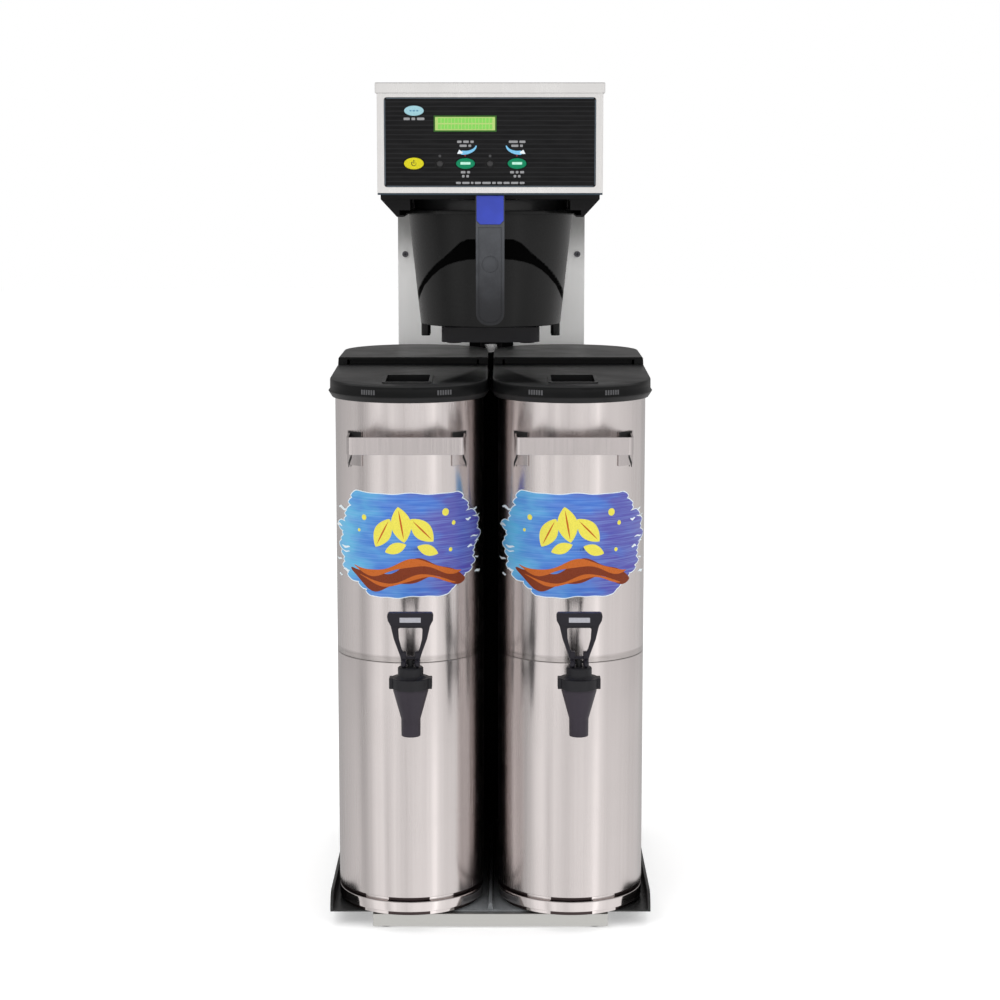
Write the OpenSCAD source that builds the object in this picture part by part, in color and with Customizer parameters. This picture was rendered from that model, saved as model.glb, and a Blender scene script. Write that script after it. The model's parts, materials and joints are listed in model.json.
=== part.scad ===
// Iced tea maker: one brew head on a column, over a tray with two narrow dispensers.
// Millimetres, +Z up, front towards -Y. The origin is on the counter, under the middle of the whole outline.

/* [Base and column] */
// Height of the machine above the counter
overall_h = 894; // [890:1:900]
// Width of the base pan
base_w = 252; // [246:1:258]
// Depth of the base pan, front to back
base_d = 564; // [560:1:572]
// Height of the base pan's top above the counter
base_h = 16; // [15:0.5:17]
// Thickness of the stainless sheet
sheet = 1.5; // [1.2:0.1:1.8]
// Width of the column
trunk_w = 221; // [216:1:224]
// Depth of the column
trunk_d = 191; // [188:1:194]
// Width of the tray, over its side walls
tray_w = 344; // [342:1:348]
// Height of the tray's side walls above the counter
tray_wall_z = 36; // [35:1:40]

/* [Hood] */
// Width of the hood
hood_w = 234; // [232:1:236]
// Height of the hood's underside above the counter
hood_z = 779; // [778:0.5:780]
// How far the hood's front lies behind the base pan's front
hood_setback = 35; // [33:1:36]
// Height of the cover's turned-down lip
cover_lip = 13; // [11:1:14]
// Width of the black control panel
panel_w = 219.4; // [214:0.2:222]
// Height of the black control panel
panel_h = 92; // [90:1:93]

/* [Brew cone] */
// Radius of the brew cone's wall under its rim
cone_top_r = 89.5; // [88:0.5:90]
// Radius of the brew cone's wall at its foot
cone_foot_r = 76.6; // [74:0.2:78]
// Height of the brew cone's wall
cone_h = 120.5; // [119.5:0.5:121]
// Width of the brew cone's handle
handle_w = 29.8; // [28:0.2:31]

/* [Dispensers] */
// Distance between the centres of the two dispensers
pitch = 173; // [171:0.5:174]
// Width of a dispenser's body
disp_w = 156.5; // [154:0.5:157]
// Depth of a dispenser's body
disp_d = 380; // [376:1:382]
// How far a dispenser's front stands in front of the base pan
overhang = 15; // [13:1:17]
// Height of the seam between reservoir and skirt
seam_z = 294; // [290:1:297]
// Height of the reservoir's rim
rim_z = 574; // [572:1:576]
// Height of the fixed rear lid's top
lid_z = 597.2; // [596.2:0.2:598.2]
// Width of the lid over the flange of its skirt
lid_w = 170.8; // [170:0.2:171]
// Width of the strip handle on a dispenser
grip_w = 122; // [114:1:123]

/* [Faucet] */
// Height of the faucet's shank above the counter
shank_z = 268; // [266:0.5:270]
// How far the faucet's axis stands in front of the dispenser
faucet_reach = 48; // [46:1:52]
// Height of the spout's mouth above the counter
spout_z = 227.8; // [224:0.2:230]
// Lift of the rubber seat when the lever is pulled
seat_lift = 4.5; // [3:0.5:4.5]

/* [Hidden] */
$fn = 96;
// the faucets reach further forward than the fittings reach back, so the pan's middle lies behind the origin
pan_y = 30;
front = pan_y - base_d / 2;
back = pan_y + base_d / 2;
trunk_y = back - trunk_d;
hood_y = front + hood_setback;
tray_t = 2;
foot_z = base_h + tray_t;
// Play between pieces that slide past each other
clear = 0.4;

disp_r = disp_w / 2;
disp_front = front - overhang;
disp_y = disp_front + disp_d / 2;
disp_straight = disp_d - disp_w;
disp_t = 1.2;
skirt_z = foot_z + 20;
floor_z = 246;
hinge_y = disp_front + 198;
hinge_z = lid_z - 11.7;
hinge_r = 1.5;

cone_y = hood_y + 126;
rail_front = hood_y + 26;
rail_back = cone_y + 104;
rail_top = hood_z - 5;
rail_half = 115;
cone_rim_z = hood_z - 17;
cone_rim_t = 4;
cone_foot_z = cone_rim_z - cone_rim_t - cone_h;
cone_wall = 3;
rim_half = 95;
rim_half_depth = 92;
handle_y = hood_y + 3;
handle_t = 19;
handle_top = hood_z - 0.7;

// The lid's skirt hangs over the reservoir's rim, and a lower ledge reaches into its mouth
lid_r = lid_w / 2;
lid_top_r = lid_r - 2.2;
lid_t = 2.6;
skirt_low = rim_z - 6.8;
skirt_in = disp_r + 2.25;
mouth_r = disp_r - disp_t - 1.5;

faucet_y = disp_front - faucet_reach;
// The faucets sit a little to the right of the dispensers' middle
faucet_shift = 5;
shank_r = 10;
pin_z = shank_z + 37;
pin_r = 1.6;

tank_r = 84;
tank_y = trunk_y + trunk_d / 2;
tank_z = 290;
tank_top = 700;
valve_y = tank_y - 40;
spray_z = 826;
heater_y = tank_y + 20;
probe_y = tank_y - 16;

// The fittings on the column's back: water on one side, power on the other
fitting_x = 52;
fitting_z = 62;
fitting_end = back + 23;

// The screws at the top of the column's front
screw_x = 102;
screw_z = 703.7;

// The panel's pieces: distance from the panel's middle, height of their centre, width and height
panel_z = hood_z + 54;
lamp = [-78.6, 865.3, 20.2, 10.3];
display = [-25.8, 852.1, 65, 16.6];
power_key = [-78.9, 811.3, 20.8, 12.4];
left_key = [-25.5, 811.3, 19.8, 11.4];
right_key = [28, 811.3, 19.8, 11.4];
sensors = [-52, 0];

steel = [0.78, 0.76, 0.74];
bright = [0.88, 0.88, 0.87];
black = [0.08, 0.08, 0.09];
charcoal = [0.2, 0.21, 0.22];

// Points of an arc round c, from angle a0 to a1
function arc(c, r, a0, a1, steps) =
    [for (i = [0:steps]) let (a = a0 + (a1 - a0) * i / steps) c + r * [cos(a), sin(a)]];

// A box from its lowest to its highest corner
module block(low, high) {
    translate(low) cube(high - low);
}

// A bar along Y, from y0 to y1
module bar_y(x, z, r, y0, y1) {
    translate([x, y0, z]) rotate([-90, 0, 0]) cylinder(h = y1 - y0, r = r);
}

// A bar along X, from x0 to x1
module bar_x(y, z, r, x0, x1) {
    translate([x0, y, z]) rotate([0, 90, 0]) cylinder(h = x1 - x0, r = r);
}

// A rectangle with round corners, about its centre
module round_rect(w, h, r) {
    square([w - 2 * r, h], center = true);
    square([w, h - 2 * r], center = true);
    for (x = [-1, 1], y = [-1, 1])
        translate([x * (w / 2 - r), y * (h / 2 - r)]) circle(r, $fn = 32);
}

// An upright face drawn in (x, z), reaching from y0 back to y1
module upright(y0, y1) {
    translate([0, y1, 0]) rotate([90, 0, 0]) linear_extrude(y1 - y0) children();
}

// A section drawn in (y, z), reaching from x0 to x1
module across(x0, x1) {
    translate([x0, 0, 0]) rotate([90, 0, 90]) linear_extrude(x1 - x0) children();
}

// An oval drawn in (x, z) about the middle of a panel piece, grown by a gap
module oval(piece, gap = 0) {
    translate([piece[0], piece[1]]) polygon([for (i = [0:31]) let (a = 360 * i / 32)
        [(piece[2] / 2 + gap) * cos(a), (piece[3] / 2 + gap) * sin(a)]]);
}

// A window drawn in (x, z) about the middle of a panel piece, grown by a gap
module window(piece, gap = 0) {
    translate([piece[0], piece[1]]) square([piece[2] + 2 * gap, piece[3] + 2 * gap], center = true);
}

// Sweeps a section (radius, height) round a plan with straight sides and half-round ends
module oval_sweep(straight) {
    translate([0, straight / 2, 0]) rotate_extrude(angle = 180) children();
    translate([0, -straight / 2, 0]) rotate([0, 0, 180]) rotate_extrude(angle = 180) children();
    rotate([90, 0, 0]) linear_extrude(straight, center = true) {
        children();
        mirror([1, 0]) children();
    }
}

// The dispensers: side is -1 for the left one and 1 for the right one
module at_dispenser(side) {
    translate([side * pitch / 2, disp_y, 0]) children();
}

module at_faucet(side) {
    translate([side * pitch / 2 + faucet_shift, faucet_y, 0]) children();
}

// Base

module base_pan() {
    lip = 24;
    low = 2;
    color(steel) difference() {
        block([-base_w / 2, front, low], [base_w / 2, back, base_h]);
        block([-base_w / 2 + sheet, front + sheet, low + sheet],
              [base_w / 2 - sheet, back - sheet, base_h - sheet]);
        block([-base_w / 2 + lip, front + lip, low - 1], [base_w / 2 - lip, back - lip, low + 2 * sheet]);
        // the column's wiring and drain pass through here
        block([-40, trunk_y + 50, base_h - 2 * sheet], [40, back - 62, base_h + 1]);
    }
}

module base_feet() {
    inset = 14;
    color(black) for (x = [-1, 1], y = [-1, 1])
        translate([x * (base_w / 2 - inset), pan_y + y * (base_d / 2 - inset), 0])
            cylinder(h = 2, r1 = 9, r2 = 10);
}

// A floor between low side walls, which are rounded down in front
module dispenser_tray() {
    tray_front = front + 7;
    tray_back = trunk_y - clear;
    wall = 3;
    floor_top = foot_z - 0.2;
    corner = 18;
    color(black) {
        block([-tray_w / 2, tray_front, base_h], [tray_w / 2, tray_back, floor_top]);
        for (side = [0, 1]) mirror([side, 0, 0])
            across(tray_w / 2 - wall, tray_w / 2) polygon(concat(
                [[tray_front, base_h], [tray_back, base_h], [tray_back, tray_wall_z]],
                arc([tray_front + corner, tray_wall_z - corner], corner, 90, 180, 8)));
        // the rib that keeps the two dispensers apart
        upright(tray_front + 4, tray_back - 40)
            polygon([[-3, floor_top], [3, floor_top], [1.6, foot_z + 6], [-1.6, foot_z + 6]]);
    }
}

// Column

module trunk_shell() {
    color(steel) difference() {
        block([-trunk_w / 2, trunk_y, base_h], [trunk_w / 2, back - sheet, hood_z]);
        block([-trunk_w / 2 + sheet, trunk_y + sheet, base_h - 1], [trunk_w / 2 - sheet, back, hood_z + 1]);
        for (side = [-1, 1]) bar_y(side * screw_x, screw_z, 1.8, trunk_y - 1, trunk_y + sheet + 1);
    }
    // flanges that the back cover screws to
    flange_x = trunk_w / 2 - 8;
    color(steel) for (side = [-1, 1])
        block([side * flange_x - 6.5, back - 2 * sheet - 0.1, base_h + 4],
              [side * flange_x + 6.5, back - sheet - 0.1, hood_z - 4]);
}

module trunk_back_cover() {
    color(steel) difference() {
        block([-trunk_w / 2, back - sheet, base_h + 1], [trunk_w / 2, back, hood_z - 1]);
        for (x = [-4:4], z = [130, 640]) translate([x * 18, back - sheet - 1, z]) rotate([-90, 0, 0])
            linear_extrude(sheet + 2) round_rect(5, 52, 2.5);
        for (side = [-1, 1]) bar_y(side * fitting_x, fitting_z, 11, back - 5, back + 5);
    }
}

module trunk_screws() {
    color(charcoal) {
        for (side = [-1, 1]) {
            bar_y(side * screw_x, screw_z, 3.6, trunk_y - 1.8, trunk_y);
            bar_y(side * screw_x, screw_z, 1.7, trunk_y, trunk_y + 8);
        }
        for (side = [-1, 1], z = [60, 400, 740]) bar_y(side * (trunk_w / 2 - 8), z, 3.6, back, back + 1.8);
    }
}

// A black buffer on the column between the lids, on a spine with a fin that parts the two bodies
module dispenser_stop() {
    half = 13;
    low = 574;
    high = 612;
    fin = 5.5;
    color(black) difference() {
        union() {
            block([-half - 1, trunk_y - 21, foot_z + 0.2], [half + 1, trunk_y - 0.1, low]);
            block([-fin, trunk_y - 61, foot_z + 7], [fin, trunk_y - 20, low - 14]);
            block([-half, trunk_y - 20, low], [half, trunk_y - 0.1, high]);
            translate([0, trunk_y - 20, low]) cylinder(h = high - low, r = half);
            block([-2 * half, trunk_y - 2.1, low], [2 * half, trunk_y - 0.1, high + 10]);
        }
        block([-8, trunk_y - 40, 588], [8, trunk_y - 24, 600]);
    }
}

module stop_plate() {
    color(bright) block([-7.4, trunk_y - 25.4, 589], [7.4, trunk_y - 24, 599]);
}

// Hood

module hood_shell() {
    top = overall_h - 1.6;
    color(bright) difference() {
        block([-hood_w / 2, hood_y, hood_z], [hood_w / 2, back, top]);
        block([-hood_w / 2 + sheet, hood_y + sheet, hood_z + sheet],
              [hood_w / 2 - sheet, back - sheet, top + 1]);
        // the openings behind the control panel
        upright(hood_y - 1, hood_y + 3) {
            window(display, 0.5);
            oval(lamp, 0.5);
            for (key = [power_key, left_key, right_key]) oval(key, 0.8);
            for (x = sensors) translate([x, power_key[1]]) circle(3.4, $fn = 32);
        }
        // the valve's way through from the column, and the sprayhead's hole
        block([-40, tank_y - 80, hood_z - 1], [40, tank_y - 5, hood_z + 3]);
        translate([0, cone_y, hood_z - 1]) cylinder(h = 4, r = 13);
    }
}

module hood_top_cover() {
    side = hood_w / 2 + 0.3;
    low = overall_h - cover_lip;
    color(bright) difference() {
        block([-side - sheet, hood_y - sheet - 0.3, low], [side + sheet, back + sheet + 0.3, overall_h]);
        block([-side, hood_y - 0.3, low - 1], [side, back + 0.3, overall_h - sheet]);
    }
}

module control_panel() {
    color(black) difference() {
        upright(hood_y - 1, hood_y) translate([0, panel_z]) round_rect(panel_w, panel_h, 3);
        upright(hood_y - 2, hood_y + 1) {
            oval(lamp, 0.05);
            window(display, 0.05);
            for (key = [power_key, left_key, right_key]) oval(key, clear);
            for (x = sensors) translate([x, power_key[1]]) circle(3.2, $fn = 32);
        }
    }
}

module display_window() {
    color([0.45, 0.75, 0.35]) {
        upright(hood_y - 0.6, hood_y + 1.5) window(display);
        upright(hood_y + 1.5, hood_y + 3.5) window(display, 2);
    }
}

module status_lamp() {
    color([0.55, 0.85, 0.95]) {
        upright(hood_y - 1.2, hood_y + 1.5) oval(lamp);
        upright(hood_y + 1.5, hood_y + 3.5) oval(lamp, 2);
    }
}

// Small round windows beside the green keys
module key_sensors() {
    color(charcoal) for (x = sensors) bar_y(x, power_key[1], 3.15, hood_y - 0.9, hood_y + 12);
}

// A key's cap stands in its hole in the panel, with a collar behind the steel
module key(piece) {
    upright(hood_y - 1.6, hood_y + 1.6) oval(piece);
    upright(hood_y + 1.6, hood_y + 3) oval(piece, 1.8);
}

module power_button() {
    color([0.93, 0.85, 0.1]) key(power_key);
}

module brew_button_left() {
    color([0.1, 0.65, 0.4]) key(left_key);
}

module brew_button_right() {
    color([0.1, 0.65, 0.4]) key(right_key);
}

module control_board() {
    board_y = hood_y + 12;
    board = [196, 72];
    color([0.1, 0.35, 0.2]) {
        upright(board_y, board_y + 1.6) translate([0, panel_z]) square(board, center = true);
        upright(hood_y + 3.5, board_y) window(display, 6);
        for (key = [power_key, left_key, right_key]) bar_y(key[0], key[1], 3, hood_y + 3.8, board_y);
        for (x = [-1, 1], z = [-1, 1])
            bar_y(x * (board[0] / 2 - 4), panel_z + z * (board[1] / 2 - 3), 2.5, hood_y + sheet, board_y);
    }
    color(charcoal) for (x = [-60:30:60])
        block([x - 9, board_y + 1.6, panel_z - 30], [x + 9, board_y + 17, panel_z - 12]);
}

// Rails for the brew cone

module rail_plate() {
    color(black) difference() {
        block([-rail_half, rail_front, rail_top], [rail_half, rail_back, hood_z]);
        translate([0, cone_y, rail_top - 1]) cylinder(h = 7, r = 40);
        for (side = [-1, 1], y = [-70, 70])
            translate([side * 106, cone_y + y, rail_top - 1]) cylinder(h = 7, r = 1.6, $fn = 24);
    }
}

module cone_rail(side) {
    low = cone_rim_z - cone_rim_t;
    inner = rim_half - 11;
    lip = cone_top_r + 0.9;
    color(black) mirror([side < 0 ? 1 : 0, 0, 0]) {
        upright(rail_front, rail_back) polygon([
            [inner, rail_top], [rail_half, rail_top], [rim_half + 3, low - 2.4], [lip, low - 2.4],
            [lip, low - clear], [rim_half + clear, low - clear],
            [rim_half + clear, cone_rim_z + 0.6], [inner, cone_rim_z + 0.6]]);
        // the stop at the rail's back end
        block([inner, rail_back - 6, low - 1], [rim_half + 1, rail_back, cone_rim_z + 1]);
    }
}

// Brew cone

module brew_cone() {
    low = cone_foot_z;
    top = cone_rim_z;
    under = top - cone_rim_t;
    slope = (cone_top_r - cone_foot_r) / cone_h;
    sunk = 1.5;
    color(black) difference() {
        translate([0, cone_y, 0]) union() {
            rotate_extrude() polygon([
                [11, low - 8], [14, low - 8], [14, low], [cone_foot_r - 1, low], [cone_foot_r, low + 1],
                [cone_top_r, under], [cone_top_r, top], [cone_top_r - cone_wall, top],
                [cone_foot_r - cone_wall, low + 12], [cone_foot_r - 12, low + 6], [11, low + 3.5]]);
            translate([0, 0, under]) linear_extrude(cone_rim_t) difference() {
                intersection() {
                    circle(108);
                    square([2 * rim_half, 2 * rim_half_depth], center = true);
                }
                circle(cone_top_r - 1);
            }
            // the wall stands up in front, past the rim
            intersection() {
                translate([0, 0, top - 1]) linear_extrude(12.5) difference() {
                    circle(cone_top_r);
                    circle(cone_top_r - cone_wall);
                }
                block([-100, -100, top - 2], [100, -36, top + 20]);
            }
            // four feet that the cone stands on when it is set down
            for (x = [-71, 71], y = [-12, 12])
                translate([x, y, low - 13]) cylinder(h = 17, r = 4.8);
        }
        // a sunk arch, moulded in the wall to both sides of the handle
        intersection() {
            upright(cone_y - 100, cone_y - 4) arch_outline();
            translate([0, cone_y, low - 20]) difference() {
                cylinder(h = cone_h + 20, r = 110);
                cylinder(h = cone_h + 20, r1 = cone_foot_r - 20 * slope - sunk, r2 = cone_top_r - sunk);
            }
        }
    }
}

// The band that falls to both sides from behind the handle, as heights above the cone's foot
module arch_outline() {
    outer = [[0, 94.2], [24, 93.9], [32.4, 90], [40.8, 82.1], [49.4, 74], [58.1, 66.8], [66.9, 57.2],
        [71.8, 50.2], [77.9, 39.2], [82, 30], [82, 25]];
    inner = [[78.9, 25], [75.5, 34.2], [71.4, 43.4], [62.5, 54.3], [53.7, 62.2], [45.1, 67.2],
        [36.6, 70.3], [24, 73], [0, 74]];
    translate([0, cone_foot_z]) for (x = [0, 1]) mirror([x, 0]) polygon(concat(outer, inner));
}

module cone_handle() {
    low = cone_foot_z + 5.7;
    high = handle_top;
    half = handle_w / 2;
    bevel = 13;
    border = 2.6;
    arm = 11;
    color([0.3, 0.31, 0.33]) difference() {
        union() {
            upright(handle_y, handle_y + handle_t) polygon(concat(
                [[half, high], [-half, high]],
                arc([-half + bevel, low + bevel], bevel, 180, 270, 6),
                arc([half - bevel, low + bevel], bevel, 270, 360, 6)));
            // the arms that join it to the cone's rim and foot
            block([-arm, handle_y + handle_t - 1, cone_rim_z - 12], [arm, cone_y - 80, cone_rim_z]);
            block([-arm, handle_y + handle_t - 1, low + 4], [arm, cone_y - 70, low + 18]);
        }
        // the cone's wall and its rim
        translate([0, cone_y, cone_foot_z + 1])
            cylinder(h = cone_h - 1, r1 = cone_foot_r + 0.05, r2 = cone_top_r + 0.05);
        block([-40, cone_y - rim_half_depth - 0.05, cone_rim_z - cone_rim_t - 0.05],
              [40, cone_y, cone_rim_z + 1]);
        // the sunk face inside a narrow border
        upright(handle_y - 1, handle_y + 1.2) polygon(concat(
            [[half - border, high - 32.5], [-half + border, high - 32.5]],
            arc([-half + bevel, low + bevel], bevel - border, 180, 270, 6),
            arc([half - bevel, low + bevel], bevel - border, 270, 360, 6)));
        // the seat of the blue insert, open at the top
        upright(handle_y - 1, handle_y + 2.5) insert_outline(14.2, high + 1, high - 29.9);
        // a hollow back, as moulded
        upright(handle_y + 6, handle_y + handle_t + 1) translate([0, (low + high) / 2 - 4])
            square([handle_w - 7, 70], center = true);
        bar_y(0, 707, 8.8, handle_y, handle_y + 2.2);
    }
}

module handle_insert() {
    color([0.16, 0.2, 0.72]) upright(handle_y - 0.8, handle_y + 2.4)
        insert_outline(14.1, handle_top, handle_top - 29.8);
}

// A rectangle with its two lower corners cut off
module insert_outline(half, high, low) {
    cut = 3.9;
    polygon([[half, high], [-half, high], [-half, low + cut], [-half + cut, low], [half - cut, low],
        [half, low + cut]]);
}

// A wire basket: three rings joined by slanting wires, over a cross of wires at the bottom
module filter_basket() {
    low = cone_foot_z + 7.4;
    high = cone_rim_z - 6;
    low_r = cone_foot_r - 14.6;
    high_r = cone_top_r - 7;
    wires = 12;
    lean = atan((high_r - low_r) / (high - low));
    color([0.8, 0.8, 0.82]) translate([0, cone_y, 0]) {
        for (i = [0:2]) translate([0, 0, low + (high - low) * i / 2])
            rotate_extrude() translate([low_r + (high_r - low_r) * i / 2, 0]) circle(1.3, $fn = 16);
        for (i = [0:wires - 1]) rotate([0, 0, 360 * (i + 0.5) / wires]) translate([low_r, 0, low])
            rotate([0, lean, 0]) cylinder(h = (high - low) / cos(lean), r = 1, $fn = 16);
        for (a = [15, 105]) rotate([0, 0, a]) bar_x(0, low, 1, -low_r, low_r, $fn = 16);
    }
}

// The trough under the cone that parts the tea between the two dispensers
module cone_outlet() {
    high = cone_foot_z - 3;
    low = high - 16.3;
    color(black) translate([0, cone_y, 0]) difference() {
        union() {
            translate([0, 0, low]) linear_extrude(high - low) round_rect(107, 62, 12);
            for (side = [-1, 1]) translate([side * 40, 0, low - 2.7]) cylinder(h = 4, r = 8);
        }
        translate([0, 0, low + 3]) linear_extrude(high) round_rect(101, 56, 9);
        for (side = [-1, 1]) translate([side * 40, 0, low - 4]) cylinder(h = 10, r = 5);
    }
    // the bridge that holds the trough to the cone's outlet
    color(black) translate([0, cone_y, 0]) difference() {
        union() {
            block([-5, -30, high - 4], [5, 30, high]);
            block([-50, -3, high - 4], [50, 3, high]);
            translate([0, 0, high - 6]) cylinder(h = 6, r = 18);
        }
        translate([0, 0, high - 10]) cylinder(h = 20, r = 14.05);
    }
}

// Water works

module sprayhead() {
    low = cone_rim_z + 3;
    color([0.9, 0.9, 0.88]) translate([0, cone_y, 0]) difference() {
        rotate_extrude() polygon([[0, low], [24, low], [34, low + 3], [34, low + 6], [12, low + 10],
            [11, hood_z + 14], [0, hood_z + 14]]);
        for (ring = [[8, 6], [16, 12], [24, 18]], i = [0:ring[1] - 1]) rotate([0, 0, 360 * i / ring[1]])
            translate([ring[0] - 2, 0, low - 1]) cylinder(h = 4, r = 1, $fn = 16);
        translate([0, 0, low + 5]) cylinder(h = 60, r = 6.2);
    }
}

// A rigid tube from the valve on the tank, forward through the hood and down to the sprayhead
module spray_tube() {
    r = 6;
    bend = 16;
    color(bright) {
        translate([0, cone_y, hood_z - 1]) cylinder(h = spray_z - hood_z + 1 - bend, r = r);
        translate([0, cone_y + bend, spray_z - bend]) rotate([0, -90, 0]) rotate([0, 0, -90])
            rotate_extrude(angle = 90) translate([bend, 0]) circle(r);
        bar_y(0, spray_z, r, cone_y + bend, valve_y - 14);
    }
}

module dump_valve() {
    coil_z = spray_z + 14;
    color([0.85, 0.85, 0.83]) {
        translate([0, valve_y, tank_top + 3]) cylinder(h = 111, r = 9);
        bar_y(0, spray_z, 10, valve_y - 14, valve_y + 14);
        translate([0, valve_y, spray_z - 14]) cylinder(h = 28, r = 13);
        translate([0, valve_y, coil_z]) cylinder(h = 34, r = 17);
        block([-15, valve_y + 10, coil_z + 4], [15, valve_y + 26, coil_z + 30]);
    }
}

module water_tank() {
    wall = 1.2;
    color(steel) translate([0, tank_y, 0]) rotate_extrude() polygon([
        [0, tank_z], [tank_r - 8, tank_z], [tank_r, tank_z + 8], [tank_r, tank_top - 4],
        [tank_r + 5, tank_top - 4], [tank_r + 5, tank_top], [tank_r - wall, tank_top],
        [tank_r - wall, tank_z + 9], [tank_r - 9, tank_z + wall], [0, tank_z + wall]]);
    // the bracket that ties the tank to the column's front
    color(steel) difference() {
        block([-30, trunk_y + sheet, 480], [30, tank_y - 60, 500]);
        translate([0, tank_y, 470]) cylinder(h = 40, r = tank_r - 0.5);
    }
    // and the legs that it stands on
    color(steel) for (x = [-64, 64]) block([x - 6, tank_y - 6, base_h], [x + 6, tank_y + 6, tank_z]);
}

module tank_lid() {
    color(bright) difference() {
        union() {
            translate([0, tank_y, tank_top]) cylinder(h = 3, r = tank_r + 5);
            for (i = [0:7]) translate([0, tank_y, tank_top + 3]) rotate([0, 0, 22.5 + 45 * i])
                translate([tank_r + 0.5, 0, 0]) cylinder(h = 3, r = 3.4, $fn = 6);
        }
        translate([0, valve_y, tank_top - 1]) cylinder(h = 6, r = 7);
        for (x = [-34, -14, 14, 34]) translate([x, heater_y, tank_top - 1]) cylinder(h = 6, r = 4.1);
        for (x = [-50, 50]) translate([x, probe_y, tank_top - 1]) cylinder(h = 6, r = 3.1);
    }
}

// Two hairpin heaters hanging from the tank's lid
module heating_element() {
    r = 4;
    low = 330;
    color([0.55, 0.45, 0.4]) for (side = [-1, 1]) translate([side * 24, heater_y, 0]) {
        for (x = [-10, 10]) {
            translate([x, 0, low]) cylinder(h = tank_top - low + 14, r = r);
            translate([x, 0, tank_top + 14]) cylinder(h = 8, r = 2.4);
        }
        translate([0, 0, low]) rotate([-90, 0, 0]) rotate_extrude(angle = 180) translate([10, 0]) circle(r);
    }
}

module level_probe() {
    color(bright) for (side = [-1, 1]) translate([side * 50, probe_y, 0]) {
        depth = side < 0 ? 60 : 180;
        translate([0, 0, tank_top - depth]) cylinder(h = depth + 14, r = 3);
        translate([0, 0, tank_top + 3]) cylinder(h = 9, r = 6.5, $fn = 6);
    }
}

module inlet_valve() {
    color([0.85, 0.85, 0.83]) translate([-fitting_x, back - 42, fitting_z]) {
        bar_y(0, 0, 9, -18, 18);
        cylinder(h = 24, r = 12);
        translate([0, 0, 24]) cylinder(h = 30, r = 16);
        // its bracket, on the base pan
        block([-14, -14, -22], [14, 14, -8.8]);
        block([-14, -14, base_h - fitting_z], [14, -10, -22]);
    }
}

module inlet_fitting() {
    color([0.8, 0.65, 0.3]) difference() {
        union() {
            bar_y(-fitting_x, fitting_z, 8, back - 24, fitting_end);
            bar_y(-fitting_x, fitting_z, 12, back, back + 5, $fn = 6);
            bar_y(-fitting_x, fitting_z, 10.5, back + 5, back + 10);
        }
        bar_y(-fitting_x, fitting_z, 5, back - 10, fitting_end + 1);
    }
}

module power_gland() {
    color(black) difference() {
        union() {
            bar_y(fitting_x, fitting_z, 10.6, back - 8, back);
            bar_y(fitting_x, fitting_z, 14, back, back + 6, $fn = 6);
            bar_y(fitting_x, fitting_z, 11.5, back + 6, back + 20);
            bar_y(fitting_x, fitting_z, 13, back - 12, back - 8, $fn = 6);
        }
        bar_y(fitting_x, fitting_z, 5, back - 13, back + 21);
    }
}

// Dispensers

module reservoir(side) {
    nest = disp_r - 1.4;
    color(steel) at_dispenser(side) difference() {
        oval_sweep(disp_straight) polygon([
            [0, floor_z], [nest - 10, floor_z], [nest - 3, floor_z + 3], [nest, floor_z + 10],
            [nest, seam_z - 0.5], [disp_r, seam_z + 0.3],
            [disp_r, rim_z - 3], [disp_r + 1.8, rim_z - 2.4], [disp_r + 1.8, rim_z],
            [disp_r - disp_t, rim_z], [disp_r - disp_t, seam_z + 1], [nest - disp_t, seam_z - 0.8],
            [nest - disp_t, floor_z + 10.5], [nest - 4, floor_z + 4], [nest - 10.5, floor_z + disp_t],
            [0, floor_z + disp_t]]);
        bar_y(faucet_shift, shank_z, shank_r + 0.3, -disp_d / 2 - 5, -disp_d / 2 + 20);
    }
}

module skirt(side) {
    color(steel) at_dispenser(side) difference() {
        oval_sweep(disp_straight) polygon([
            [disp_r - disp_t, seam_z - 0.5], [disp_r - disp_t, skirt_z + disp_t],
            [disp_r - 9, skirt_z + disp_t],
            [disp_r - 9, skirt_z], [disp_r - 0.8, skirt_z], [disp_r, skirt_z + 0.8], [disp_r, seam_z - 0.5]]);
        bar_y(faucet_shift, shank_z, shank_r + 0.3, -disp_d / 2 - 5, -disp_d / 2 + 20);
    }
}

// A stepped ring: a narrow waist under the skirt, a full band, and a narrower sole
module foot_ring(side) {
    color(steel) at_dispenser(side) oval_sweep(disp_straight) polygon([
        [disp_r - 9, foot_z], [disp_r - 4, foot_z], [disp_r - 4, foot_z + 4.4],
        [disp_r - 0.6, foot_z + 4.4], [disp_r, foot_z + 5], [disp_r, foot_z + 15],
        [disp_r - 0.6, foot_z + 15.6], [disp_r - 5.5, foot_z + 15.6], [disp_r - 5.5, skirt_z],
        [disp_r - 9, skirt_z]]);
}

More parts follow.
